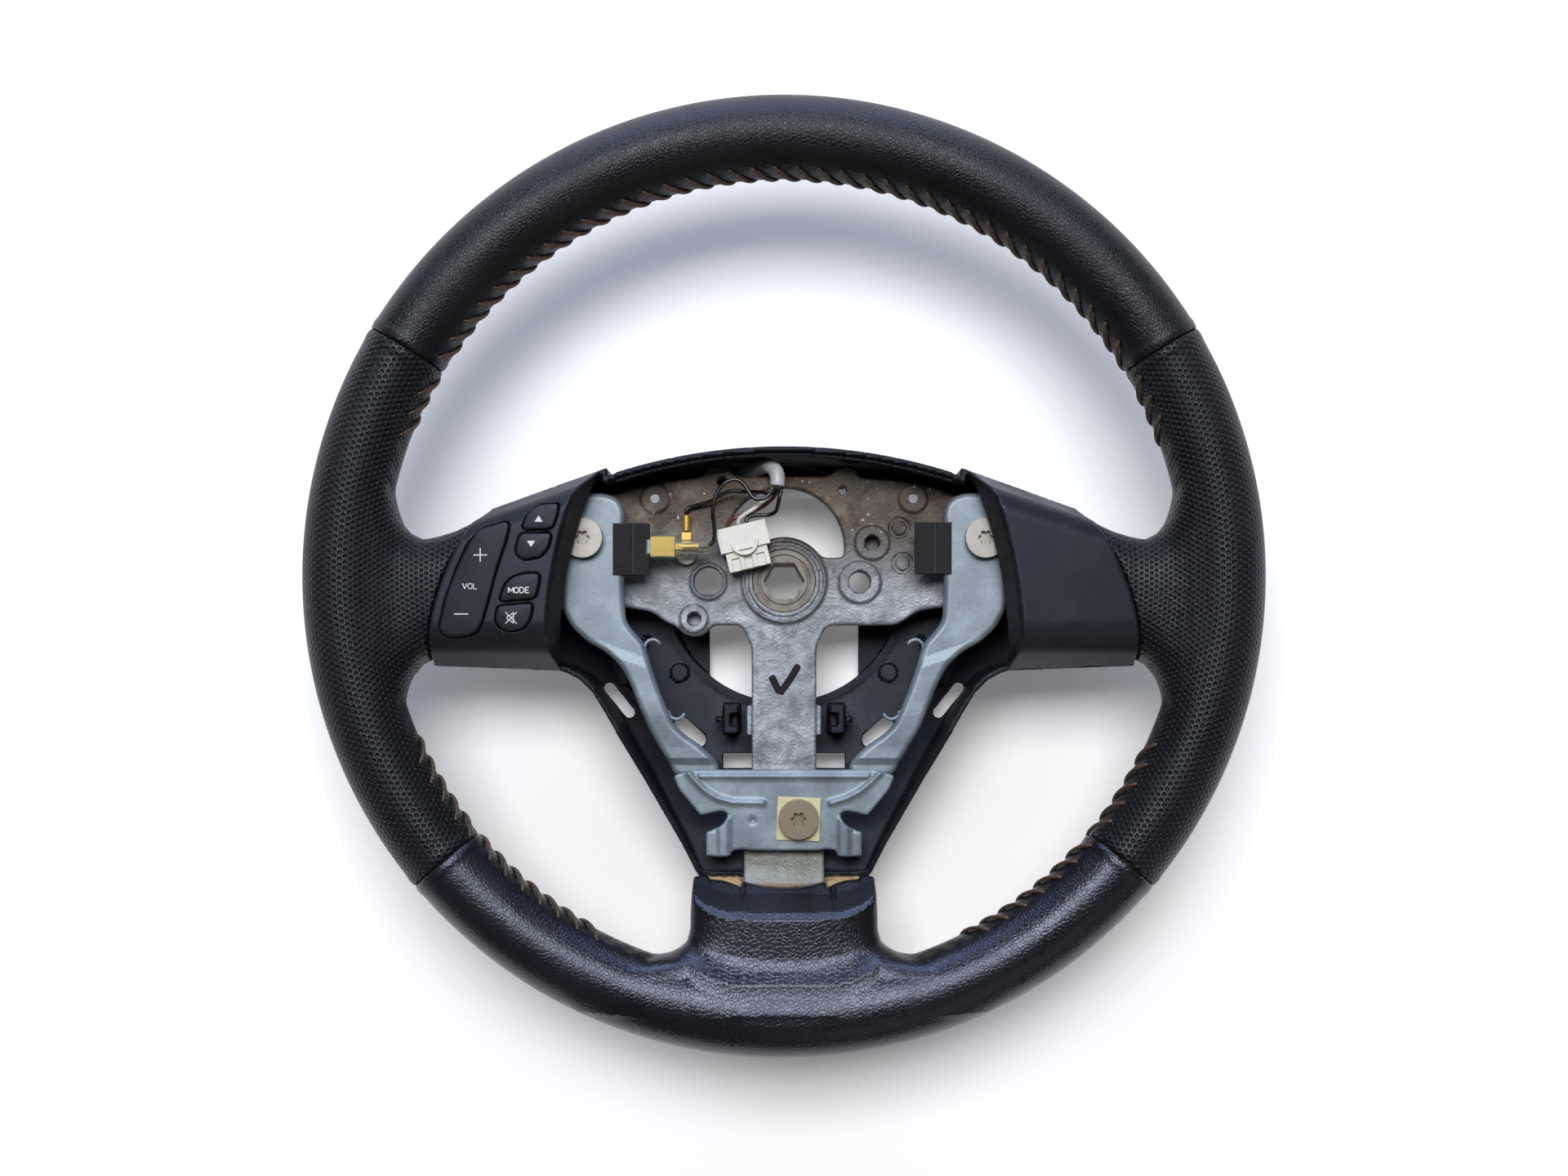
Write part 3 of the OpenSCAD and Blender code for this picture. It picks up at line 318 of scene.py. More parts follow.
def spread(tree, value, low, high, to_low=0.0, to_high=1.0):
    """A value from low to high spread over another range, eased at both ends."""
    return add(tree, "MapRange", {0: value, 1: low, 2: high, 3: to_low, 4: to_high},
               interpolation_type="SMOOTHSTEP").outputs[0]


def noise(tree, at, size_mm, detail, **more):
    """Noise about 0.5 with features of that size."""
    return add(tree, "TexNoise", {"Vector": at, "Scale": 1000 / size_mm, "Detail": detail,
                                  **more}).outputs[0]


def mix(tree, share, below, above):
    """One colour over another, by a share from 0 to 1."""
    return add(tree, "Mix", {0: share, 6: below, 7: above}, data_type="RGBA").outputs[2]


def dyed_leather(name, grain_mm, grain_depth, rough, ior, painted_sky_tint, holes=False):
    """Corrected-grain hide, dyed black and sealed.

    The pebbled grain breaks up a soft satin shine, worn smoother where hands hold it, and the
    shine is tinted a little blue, a painted sky colour. Round holes are punched 2.4 mm apart,
    and each is a dimple with a near-black middle, painted shade for the hole's depth.
    """
    made, tree, shader, at = shader_of(name)
    cells = add(tree, "TexVoronoi", {"Vector": at, "Scale": 1000 / grain_mm},
                feature="DISTANCE_TO_EDGE").outputs["Distance"]
    patches = noise(tree, at, 28, 4)
    colour = ramp(tree, patches, (0.3, "#101012"), (0.7, "#18181b"))
    pebble = bump(tree, spread(tree, cells, 0.0, 0.22), grain_depth)
    last = bump(tree, noise(tree, at, 1.1, 2), grain_depth * 0.6, pebble)
    if holes:
        lattice = (HOLE_PITCH, HOLE_PITCH * 3 ** 0.5, 1)
        found = []
        for shift in (0.0, 0.5):
            share = add(tree, "UVMap", {}, uv_map="surface_mm").outputs[0]
            for operation, by in (("DIVIDE", lattice), ("ADD", (shift, shift, 0)),
                                  ("FRACTION", (0, 0, 0)), ("SUBTRACT", (0.5, 0.5, 0)),
                                  ("MULTIPLY", lattice)):
                share = add(tree, "VectorMath", {0: share, 1: by},
                            operation=operation).outputs[0]
            found.append(add(tree, "VectorMath", {0: share},
                             operation="LENGTH").outputs["Value"])
        nearest = maths(tree, "MINIMUM", *found)
        last = bump(tree, spread(tree, nearest, HOLE_R * 0.4, HOLE_R * 1.8), 0.55, last)
        # Painted shade: each hole's middle is near-black to stand for the hole's depth.
        colour = mix(tree, spread(tree, nearest, HOLE_R * 0.55, HOLE_R), "#060606", colour)
    # The Specular Tint is a painted sky colour that turns the shine a little blue.
    feed(tree, shader, {
        "Base Color": colour, "Normal": last, "IOR": ior, "Specular Tint": painted_sky_tint,
        "Roughness": spread(tree, patches, 0.25, 0.75, rough - 0.05, rough + 0.05)})
    return made


def rim_gap(x, y, z):
    """Distance from the round grip, a torus.

    The hide is pulled in up to 0.5 mm at each lacing hole on the inner edge, and swells
    0.3 mm beside each seam across the rim.
    """
    out_by = np.hypot(x, y) - RIM_R
    up = z - RIM_Z
    turn = np.arctan2(y, x)
    around = np.arctan2(-out_by, up)
    lacing = 0.5 + 0.5 * np.cos(turn * RIM_IN * 2 * np.pi / STITCH_PITCH)
    pull = 0.5 * lacing * np.exp(-((around - 1.3) / 0.2) ** 2)
    swell = 0
    for seam in (SEAM_UP, 180 - SEAM_UP, SEAM_DOWN - 180, -SEAM_DOWN):
        off = np.abs((turn - np.radians(seam) + np.pi) % (2 * np.pi) - np.pi) * RIM_R
        swell = swell + 0.3 * np.exp(-((off - 2.6) / 1.5) ** 2)
    return np.hypot(out_by, up) - GRIP_R + pull - swell


def root_gap(inward, across, up, stations, lean_low, lean_high):
    """Distance from a spoke's leather-covered end, a rounded box whose edges change inwards.

    Each station gives its distance in from the rim's inner edge, its two side edges and its
    back and front. The section is a superellipse that narrows towards the front.
    """
    low, high, back, front = (np.interp(inward, stations[:, 0], stations[:, n])
                              for n in range(1, 5))
    tall = (up - (front + back) / 2) / ((front - back) / 2)
    share = np.clip((inward - 2) / 12, 0, 1) * np.clip((tall + 1) / 2, 0, 1)
    middle, half = (low + high) / 2, (high - low) / 2
    half = half - np.where(across < middle, lean_low, lean_high) * share
    wide = (across - middle) / half
    n = ROOT_ROUNDNESS
    size = np.maximum((np.abs(wide) ** n + np.abs(tall) ** n) ** (1 / n), 1e-6)
    slope = np.hypot((np.abs(wide) / size) ** (n - 1) / half,
                     (np.abs(tall) / size) ** (n - 1) * 2 / (front - back))
    return np.maximum((size - 1) / np.maximum(slope, 1e-9), -5 - inward)


def trimmed(hide, x, y, seam, keep):
    """A hide cut at the seam at that angle, kept before it (keep 1) or past it (keep -1)."""
    a = np.radians(seam)
    return both(hide, keep * (y * np.cos(a) - x * np.sin(a)) + SEAM_GAP, SEAM_EDGE)


def grip_flat(points, faces):
    """Where each face corner lies on the hide laid flat, in millimetres.

    One way is along the rim. The other is round the grip from its crest, plus the distance
    in along a spoke, and it turns back on itself behind the rim's middle plane.
    """
    x, y, z = points.T
    radius = np.hypot(x, y)
    around = np.arctan2(RIM_R - radius, z - RIM_Z)
    off = np.maximum(np.hypot(RIM_R - radius, z - RIM_Z) - GRIP_R, 0)
    along = np.arctan2(y, np.abs(x)) * (RIM_R - np.maximum(150 - radius, 0))
    behind = (z[faces].mean(1) < RIM_Z)[:, None]
    spread_by = np.where(behind, -off[faces], off[faces])
    return np.stack([along[faces], around[faces] * GRIP_R + spread_by], -1)


SIDE_STATIONS = np.array([
    [-6, -50, 33, -8, 7.5], [-1, -54, 36, -10, 8.5], [3, -50, 27.5, -12, 8.6],
    [6, -45.5, 21.4, -13, 8.3], [9, -40.5, 18.4, -14.2, 7.9], [13, -36, 17, -16, 7.2],
    [16.5, -34.2, 17.8, -18.4, 6.4], [19, -34.2, 18.5, -20, 6], [25, -34.4, 20.5, -22, 5.8],
    [31.5, -34.6, 23.7, -24, 5.8], [38, -34.8, 28.5, -26, 5.8], [46, -35, 33.4, -27.5, 5.8]])
BOTTOM_STATIONS = np.array([
    [-6, -62, 62, -8, 8], [-1, -58, 58, -10, 10.5], [3, -52, 52, -12, 9.6],
    [6, -46, 46, -13, 9.2], [9, -41, 41, -13.5, 8.9], [13, -38, 38, -14, 8.6],
    [18, -36.8, 36.8, -16, 8.3], [23, -36.8, 36.8, -18, 8], [25.4, -36.7, 36.7, -19, 5.6],
    [31, -36.2, 36.2, -22, -5], [38, -35.7, 35.7, -23.5, -15]])


def side_leather(x, y, z):
    """The right leather: grip and spoke end with a fillet, cut at two seams and the cover."""
    root = root_gap(RIM_IN - x, y, z - RIM_Z, SIDE_STATIONS, 6, 5)
    whole = trimmed(either(rim_gap(x, y, z), root, 8), x, y, SEAM_UP, 1)
    whole = trimmed(whole, x, y, -SEAM_DOWN, -1)
    return both(whole, EDGE_R + 0.5 - np.hypot(x - EDGE_MIDDLE[0], y - EDGE_MIDDLE[1]), 1.0)


def bottom_leather(x, y, z):
    """The bottom leather: its spoke end rolls over a ridge that bends up at both sides."""
    bend = 7 * np.clip((np.abs(x) - 18) / 18, 0, 1) ** 2
    inward = RIM_IN + y
    ridge, level = (np.interp(at, BOTTOM_STATIONS[:, 0], BOTTOM_STATIONS[:, 4])
                    for at in (inward - bend, inward))
    root = root_gap(inward, x, z - RIM_Z + level - ridge, BOTTOM_STATIONS, 1, 1)
    creases = 0
    for at, lean, depth in ((-16.3, 0.06, 1.3), (19.2, -0.1, 1.4), (7.6, 0.05, 0.5)):
        off = (x - at - lean * (inward - 30)) / 0.9
        creases = creases + depth * np.exp(-off ** 2) * np.clip((inward - 27) / 4, 0, 1)
    whole = either(rim_gap(x, y, z), root, 10) + creases
    whole = trimmed(trimmed(whole, x, y, 180 + SEAM_DOWN, -1), x, y, -SEAM_DOWN, 1)
    edge = np.interp(np.abs(x), [0, 8, 15.8, 16.6, 19, 24, 29.3, 30.2, 44, 60],
                     [32.7, 33.2, 34.8, 32.6, 34, 35.4, 35.8, 37.2, 37.0, 80])
    return both(whole, inward - edge, 0.6)


def top_leather(x, y, z):
    """The top leather: the grip between the two upper seams."""
    return trimmed(trimmed(rim_gap(x, y, z), x, y, SEAM_UP, -1), x, y, 180 - SEAM_UP, 1)


# The last colour given to each leather is the painted sky colour of its shine.
skinned("rim_leather_top", top_leather, (-165, 70, 40), (165, 190, 80), LEATHER_STEP,
        dyed_leather("smooth_dyed_leather", 1.3, 0.07, 0.4, 1.42, "#e8ecf6"), "wheel",
        "leather_top")
skinned("rim_leather_bottom", bottom_leather, (-150, -190, 30), (150, -95, 80), LEATHER_STEP,
        dyed_leather("grained_dyed_leather", 1.6, 0.05, 0.3, 1.58, "#dde7ff"), "wheel",
        "leather_bottom")
punched_hide = dyed_leather("perforated_dyed_leather", 1.3, 0.04, 0.4, 1.4, "#e8ecf6",
                            holes=True)
points, faces, normals = skin(side_leather, (100, -130, 25), (190, 110, 80), LEATHER_STEP)
for side, flip in (("right", 1), ("left", -1)):
    turn = np.array([flip, 1, 1])
    turned = faces[:, ::flip]
    piece("rim_leather_" + side, points * turn, turned, punched_hide, "wheel",
          "leather_" + side, normals=normals * turn, uv=grip_flat(points * turn, turned))

# Lacing: waxed brown thread that draws the leathers' two edges together on the rim's inner
# edge. Each strand starts in a pucker of the front edge, runs on along the joint and dives
# under the next one, so that the row looks like a twisted rope.
STITCH_R = 0.72


def curve(route, steps=6):
    """Points on a smooth curve through every point of a route, steps to each stretch."""
    route = np.asarray(route, float)
    padded = np.concatenate([[2 * route[0] - route[1]], route, [2 * route[-1] - route[-2]]])
    before, here, after, beyond = (padded[n:n + len(route) - 1, None] for n in range(4))
    t = np.linspace(0, 1, steps, endpoint=False)[None, :, None]
    smooth = here + 0.5 * t * (after - before + t * (
        2 * before - 5 * here + 4 * after - beyond
        + t * (3 * (here - after) + beyond - before)))
    return np.concatenate([smooth.reshape(-1, 3), route[-1:]])


def cords(routes, radius, sides=10):
    """Round tubes along routes of equal length, with closed ends, as one mesh.

    Each ring lies square to the route, turned so that one side stays level.
    """
    routes = np.asarray(routes, float)
    count, rings = routes.shape[:2]
    ahead = np.gradient(routes, axis=1)
    ahead /= np.linalg.norm(ahead, axis=2, keepdims=True)
    across = np.cross(ahead, (0.03, 0.05, 1.0))
    across /= np.linalg.norm(across, axis=2, keepdims=True)
    up = np.cross(across, ahead)
    turn = 2 * np.pi * np.arange(sides) / sides
    ends = np.ones(rings)
    ends[[0, -1]] = 0.6
    reach = radius * ends[None, :, None, None]
    out = routes[:, :, None] + reach * (np.cos(turn)[:, None] * across[:, :, None]
                                        + np.sin(turn)[:, None] * up[:, :, None])
    number = np.arange(count * rings * sides).reshape(count, rings, sides)
    here, there = number[:, :-1], number[:, 1:]
    wall = np.stack([here, np.roll(here, -1, 2), np.roll(there, -1, 2), there], -1)
    faces = wall.reshape(-1, 4).tolist()
    faces += number[:, 0, ::-1].tolist() + number[:, -1].tolist()
    return out.reshape(-1, 3), faces


def lacing(first, last):
    """The strands between two angles on the rim's inner edge, as one mesh.

    A strand is a row of (pitches along the rim, angle from the crest, height off the hide).
    """
    strand = curve([(0.0, 60, -0.9), (0.12, 65, 0.3), (0.45, 77, 1.0), (0.85, 90, 1.0),
                    (1.15, 101, 0.3), (1.3, 108, -0.9)], 4)
    length = np.radians(last - first) * RIM_IN
    count = int(length / STITCH_PITCH)
    start = np.arange(count)[:, None] * STITCH_PITCH + (length - count * STITCH_PITCH) / 2
    angle = np.radians(last) - (start + strand[:, 0] * STITCH_PITCH) / RIM_IN
    around = np.radians(strand[:, 1])
    reach = GRIP_R + strand[:, 2] - 0.25
    radius = RIM_R - reach * np.sin(around)
    up = np.broadcast_to(RIM_Z + reach * np.cos(around), angle.shape)
    return cords(np.stack([radius * np.cos(angle), radius * np.sin(angle), up], -1), STITCH_R)


def waxed_thread():
    """Waxed brown polyester thread, mottled with a lighter brown painted highlight."""
    made, tree, shader, at = shader_of("waxed_brown_thread")
    strand_highlight = noise(tree, at, 0.7, 3)
    # The lighter brown stop is a painted highlight over the thread's own dark brown.
    feed(tree, shader, {"Base Color": ramp(tree, strand_highlight, (0.35, "#2c211a"), (0.7, "#66513f")),
                        "Normal": bump(tree, strand_highlight, 0.12), "Roughness": 0.55})
    return made


thread = waxed_thread()
for name, first, last, slot in (
        ("top", SEAM_UP, 180 - SEAM_UP, "smooth_leather"),
        ("right_upper", 18.5, SEAM_UP, "perforated_leather"),
        ("right_lower", -SEAM_DOWN, -24, "perforated_leather"),
        ("left_upper", 180 - SEAM_UP, 161.5, "perforated_leather"),
        ("left_lower", 204, 180 + SEAM_DOWN, "perforated_leather"),
        ("bottom_right", -64, -SEAM_DOWN, "grained_leather"),
        ("bottom_left", 180 + SEAM_DOWN, 244, "grained_leather")):
    points, faces = lacing(first, last)
    piece("rim_lacing_" + name, points, faces, thread, "wheel")

# Rear cover: a black moulded shell behind the hub, with an upstanding wall, a collar round
# the column's opening, cooling slots, two hooks for the leg's tabs and a stepped top lip.
SHELL_T = 2.2
COVER_TOP = 52.0
COVER_END = 37.0
COVER_PLAN = [
    [-30, -118.5], [34, -118.5], [40.5, -105], [55, -78.7], [69.5, -53.6], [75, -44.6],
    [80, -39.6], [85, -37], [88, -36], [139, -34.1], [139, 18.4], [69, 43.5], [69, 60], [-30, 60]]
LINE_TOP = (69, 43.5, -0.3587)
LINE_LOW = (88, -36, 0.0377)


def disc(x, y, centre_x, centre_y, radius):
    """Distance from a disc in plan, or from an upright cylinder."""
    return np.hypot(x - centre_x, y - centre_y) - radius


def slab(v, low, high):
    """Distance from the space between two heights."""
    return np.maximum(low - v, v - high)


def block(x, y, z, wide, long, high, side=0.0, end=0.0):
    """Distance from a block given by its ranges in X, Y and Z.

    Its upright edges are rounded to side, and those of its two ends to end.
    """
    return both(both(slab(x, *wide), slab(y, *long), side), slab(z, *high), end)


def stroke_gap(x, y, a, b):
    """Distance in plan from the straight line between two points."""
    ex, ey = b[0] - a[0], b[1] - a[1]
    share = np.clip(((x - a[0]) * ex + (y - a[1]) * ey) / (ex * ex + ey * ey), 0, 1)
    return np.hypot(x - a[0] - ex * share, y - a[1] - ey * share)


def outline_gap(x, y, outline):
    """Distance from a closed outline in plan, negative inside it."""
    nearest, inside = np.inf, False
    for a, b in zip(outline, outline[1:] + outline[:1]):
        nearest = np.minimum(nearest, stroke_gap(x, y, a, b))
        (ax, ay), (bx, by) = a, b
        inside = inside ^ (((ay > y) != (by > y))
                           & (x < ax + (y - ay) * (bx - ax) / (by - ay or 1)))
    return np.where(inside, -nearest, nearest)


def line_gap(x, y, points, radius):
    """Distance from a band of that half width along an open line in plan."""
    nearest = np.inf
    for a, b in zip(points, points[1:]):
        nearest = np.minimum(nearest, stroke_gap(x, y, a, b))
    return nearest - radius


def rear_cover(x, y, z):
    """The rear cover's shell with its collar, bosses, hooks, slots and top lip."""
    wide = np.abs(x)
    plan = outline_gap(wide, y, COVER_PLAN)
    plan = np.maximum(plan, np.minimum(disc(x, y, 0, -165.5, 217), 69 - wide))
    plan = np.maximum(plan, disc(wide, y, EDGE_MIDDLE[0], EDGE_MIDDLE[1], EDGE_R))
    out = np.hypot(x, y)
    rear = np.interp(out, [0, 53, 78, 104, 125, 150, 200], [10, 10, 13, 27, 37, 43, 50])
    steep = np.interp(out, [53, 78, 104, 125, 150], [0.1, 0.4, 0.5, 0.35, 0.2])
    floor = (rear - z) / np.hypot(1, steep)
    shell = both(both(plan, floor, 1.5), -both(plan + SHELL_T, floor + SHELL_T, 1.0), 0.4)
    fall = np.interp(y, [-118.5, -60], [COVER_END, COVER_TOP])
    top = np.where(wide > 66, np.minimum(fall, 50), fall)
    shell = both(shell, z - top, 0.5)
    lip = both(slab(plan, -3.6, -1.0), slab(z, 46.5, 50.2), 0.4)
    lip = np.maximum(lip, np.maximum(wide - 66, 30 - y))
    shell = either(shell, lip, 0.5)
    collar = both(slab(out, 49, 52), slab(z, 0, 12), 0.4)
    sides = np.minimum(np.maximum(31 - wide, y + 10), 40 - y)
    floors = both(both(out - 51, slab(z, 3, 3 + SHELL_T)), sides, 0.4)
    shell = either(both(shell, -both(out - 49, z - 40), 0.3), either(collar, floors, 0.5), 0.6)
    for centre, radius, high in (((51.8, 33), 5.6, 25.7), ((43.1, -36.7), 3.8, 0)):
        shell = either(shell, both(disc(wide, y, *centre, radius),
                                   slab(z, 11.5, high or rear + SHELL_T + 1.0), 0.8), 0.5)
    hook = block(wide, y, z, (18.2, 24.8), (-61.7, -49.7), (12.5, 31), 0.5, 0.5)
    notch = block(wide, y, z, (17.5, 21.6), (-58.2, -53.2), (24, 60))
    catch = block(wide, y, z, (24, 28), (-56.9, -54.5), (20, 28), 0, 0.3)
    shell = either(shell, either(both(hook, -notch, 0.4), catch, 0.4), 0.8)
    shell = both(shell, -line_gap(wide, y, [(71.6, -43), (63.4, -53.2)], 2.1), 0.4)
    shell = both(shell, -line_gap(wide, y, [(42, -58.4), (35.4, -64.4)], 3.2), 0.4)
    shell = both(shell, -both(slab(wide, -1, 25), slab(y, -76, -70)), 0.4)
    rib = both(both(line_gap(wide, y, [(56, -22), (64, -42)], 0.7), z - 33), 10 - z, 0.3)
    return either(shell, both(rib, plan), 0.6)


def moulded_plastic(name, colour, gloss, grain_mm, grain_depth, dust):
    """Moulded plastic, dyed through.

    A fine spark-eroded grain keeps its reflections broad, and pale dust gathers on it in
    blotches. Its shine is tinted a little blue, a painted sky colour.
    """
    made, tree, shader, at = shader_of(name)
    blotch = noise(tree, at, 17, 5, Roughness=0.65)
    dusty = spread(tree, blotch, 0.45, 0.75, 0.0, dust)
    # The Specular Tint is a painted sky colour that turns the shine a little blue.
    feed(tree, shader, {
        "Base Color": mix(tree, dusty, colour, "#6f6a62"), "Specular Tint": "#dbe5ff",
        "Normal": bump(tree, noise(tree, at, grain_mm, 2), grain_depth), "IOR": 1.38,
        "Roughness": spread(tree, blotch, 0.3, 0.7, gloss - 0.05, gloss + 0.07)})
    return made


skinned("rear_cover_shell", rear_cover, (-141, -121, -2), (141, 54, 54), 1.0,
        moulded_plastic("rear_shell_plastic", "#15161a", 0.5, 0.5, 0.05, 0.08), "wheel",
        "rear_cover")

# Armature: the cast light-alloy spider, with a hub boss, raised bosses round its holes, a
# lower leg and two arms under the spoke covers. It is sand-blasted, then left bare.
PLATE_Z = 32.0
PLATE_T = 6.0
HUB_PLATE = [
    [-66, -10.4], [-66, 36.8], [-49.6, 40], [-33, 42], [-30.6, 46.6], [-22.7, 46.6], [-20, 42.2],
    [18.2, 42.2], [22.5, 46.6], [28.8, 46.6], [30.1, 42], [49.6, 40], [66, 36.8], [66, -10.4],
    [54, -12], [45.5, -17.8], [17.1, -17.8], [13.6, -25.2], [13, -28], [13, -95], [-13, -95],
    [-13, -28], [-13.6, -25.2], [-17.1, -17.8], [-45.5, -17.8], [-54, -12]]
ARM_PLAN = [
    [60, -10.4], [88, -11], [112, -15], [135, -17], [165, -17], [165, 1], [135, 1], [112, 8],
    [92, 20], [72, 34], [60, 37.5]]
ARM_SIDE = [
    [60, 26], [80, 27], [97, 30], [122, 42], [142, 51], [165, 56], [165, 64], [140, 59], [118, 50],
    [95, 38], [80, 34], [62, 32]]
LEG_SIDE = [
    [-10, 26], [-74, 26], [-86, 30], [-104, 32.5], [-119, 39], [-140, 49], [-160, 56], [-160, 64],
    [-140, 57], [-119, 46], [-104, 37], [-86, 35], [-74, 32], [-10, 32]]
# Each boss: centre, outer radius, hole radius, floor of the hole, height over the plate
BOSSES = [(35.4, 15.3, 6.9, 2.9, 26.5, 1.2), (30.4, -0.5, 8.4, 4.3, 0, 1.2),
          (-30.4, -0.3, 7.3, 5.9, 0, 1.2), (-36.2, -15.2, 5.6, 2.6, 26.5, 1.2),
          (51.8, 33, 5.6, 1.5, 26.5, 0.8), (-51.8, 33, 5.6, 1.5, 26.5, 0.8)]
SEATS = [(-79, 16), (79, 16), (5.7, -94.4)]


def rounded(outline, cut):
    """A closed outline whose corners are swapped for arcs that start that far from them."""
    corners = np.asarray(outline, float)
    done = []
    for before, here, after in zip(np.roll(corners, 1, 0), corners, np.roll(corners, -1, 0)):
        back, on = before - here, after - here
        a = here + back * min(cut / np.hypot(*back), 0.45)
        b = here + on * min(cut / np.hypot(*on), 0.45)
        for t in (0, 0.25, 0.5, 0.75, 1):
            done.append(list(a * (1 - t) ** 2 + here * 2 * t * (1 - t) + b * t ** 2))
    return done


def cast_plate(x, y, z):
    """The hub plate, the leg and all bosses, whose edges and corners are cast round."""
    out = np.hypot(x, y)
    flat = either(outline_gap(x, y, PLATE_OUTLINE), disc(x, y, -36.2, -15.2, 7.1), 3)
    window = both(both(disc(x, y, 0, 13.3, 24.2), 17.8 - out, 1.5), 9.5 - y, 2.0)
    body = both(both(flat, -window), slab(z, PLATE_Z - PLATE_T, PLATE_Z), 1.3)
    half = np.interp(y, [-105, -100], [16, 13])
    leg = both(np.abs(x) - half, outline_gap(y, z, LEG_SIDE), 1.1)
    tab = block(np.abs(x), y, z, (10, 15), (-62, -50), (26, 31), 0.8, 0.6)
    body = either(either(body, leg), tab, 0.5)
    body = either(body, both(out - 17, slab(z, 20, PLATE_Z + 1.5), 0.9), 1.2)
    for at_x, at_y, outer, inner, floor, rise in BOSSES:
        r = np.hypot(x - at_x, y - at_y)
        body = either(body, both(r - outer, slab(z, 24, PLATE_Z + rise), 0.7), 1.0)
        body = both(body, -both(r - inner, floor - z), 0.4)
    for at_x, at_y, r in ((-25, 40.1, 1.9), (23.5, 36.4, 1.7), (-39.1, 10.4, 2.1)):
        body = both(body, -disc(x, y, at_x, at_y, r), 0.4)
    for at_x, at_y in ((46.3, 21.3), (47.6, 7.1)):
        mark = both(slab(np.hypot(x - at_x, y - at_y), 2.9, 4.2), PLATE_Z - 0.5 - z)
        body = both(body, -mark, 0.4)
    groove = both(slab(out, 14.4, 15.7), PLATE_Z + 1.0 - z)
    body = both(body, -groove, 0.4)
    return both(body, -(out - 12.6), 0.3)


def cast_limbs(x, y, z):
    """The arms under the spoke covers, the seats, the hub's tube and the ribs behind."""
    wide = np.abs(x)
    arms = both(outline_gap(wide, y, ARM_PLAN), outline_gap(wide, z, ARM_SIDE), 1.5)
    tube = both(slab(np.hypot(x, y), 12.6, 17), slab(z, 8, 27), 0.6)
    low = block(wide, y, z, (14, 64), (-8, -5), (22, 27), 0, 0.5)
    high = block(wide, y, z, (25, 64), (22, 25), (22, 27), 0, 0.5)
    body = either(either(arms, tube), either(low, high))
    for at_x, at_y in SEATS:
        r = np.hypot(x - at_x, y - at_y)
        body = either(body, both(slab(r, 3.1, 9), slab(z, PLATE_Z - 2, PLATE_Z + 5), 0.8), 1)
    return body


def cast_metal():
    """Sand-cast aluminium alloy gone dull.

    Blasted grain scatters its shine. Brown road dirt lies in blotches on the upper half, the
    leg below the hub is brighter where it was rubbed, and pale scuffs and specks lie about.
    """
    made, tree, shader, at = shader_of("cast_light_alloy")
    blotch = noise(tree, at, 22, 7, Roughness=0.68)
    stain = noise(tree, at, 9, 6, Roughness=0.7, Distortion=0.8)
    height = add(tree, "SeparateXYZ", {0: at}).outputs["Y"]
    upper = spread(tree, height, -0.014, 0.03)
    dirty = ramp(tree, blotch, (0.32, "#352b22"), (0.5, "#594e43"), (0.68, "#8a8176"))
    bright = ramp(tree, stain, (0.3, "#6a6e74"), (0.5, "#8e949b"), (0.7, "#b4bac3"))
    colour = mix(tree, upper, bright, dirty)
    brown = maths(tree, "MULTIPLY", spread(tree, stain, 0.5, 0.64), upper)
    scuff = noise(tree, at, 2.6, 3, Roughness=0.4)
    for share, over in ((maths(tree, "MULTIPLY", brown, 0.75), "#3b2f26"),
                        (spread(tree, scuff, 0.69, 0.74, 0.0, 0.7), "#bfc2c6"),
                        (spread(tree, height, -0.101, -0.107, 0.0, 0.8), "#8a8c80"),
                        (spread(tree, height, -0.1185, -0.121, 0.0, 0.85), "#6a5034")):
        colour = mix(tree, share, colour, over)
    dents = bump(tree, stain, 0.8)
    feed(tree, shader, {
        "Base Color": colour, "Normal": bump(tree, noise(tree, at, 0.9, 3), 0.22, dents),
        "Roughness": spread(tree, blotch, 0.3, 0.7, 0.46, 0.64),
        "Metallic": spread(tree, upper, 0, 1, 0.6, 0.35)})
    return made


PLATE_OUTLINE = rounded(HUB_PLATE, 3.0)
cast = cast_metal()
skinned("armature_plate", cast_plate, (-70, -134, 22), (70, 50, 66), 0.8, cast, "wheel",
        "armature")
skinned("armature_limbs", cast_limbs, (-150, -108, 6), (150, 40, 66), 1.5, cast, "wheel",
        "armature")

# Horn plate: two arms and a lower plate, pressed from zinc-plated steel sheet with rolled
# edges, stiffening beads and small wire hooks, riveted where the arms run under the plate.
SHEET_T = 1.8
HORN_TOP = 45.8
ARM_OUTLINE = [
    [-83.9, -19], [-77.7, -24.7], [-70.3, -28.7], [-64.2, -34.6], [-60.4, -42], [-57.5, -49.4],
    [-53.8, -58.4], [-49.6, -65.9], [-46.1, -71.2], [-43.5, -77.5], [-36, -78.6], [-25.7, -78.6],
    [-25.7, -72.6], [-32.5, -65.9], [-39.3, -61.4], [-43.5, -57.2], [-45.1, -53.6], [-49, -44.5],
    [-52.6, -33.8], [-55.1, -25.2], [-58.4, -21.8], [-62.6, -16.5], [-63.2, -3.5], [-62.9, 22.3],
    [-62.5, 26], [-64.8, 31.6], [-70.5, 34], [-80, 34], [-85.6, 31.6], [-88, 26], [-88, -11]]
LOWER_HALF = [
    [36, -75], [43.8, -77.4], [41.4, -83], [32.8, -93.2], [27.8, -91.9], [23.8, -91.3],
    [22.2, -92.8], [22.8, -94.6], [24.8, -97.2], [29.1, -99], [30.3, -100.3], [30, -108.2],
    [28.4, -109.4], [21, -109.2], [20.4, -106.8], [15.5, -106.4], [14.2, -106.9]]
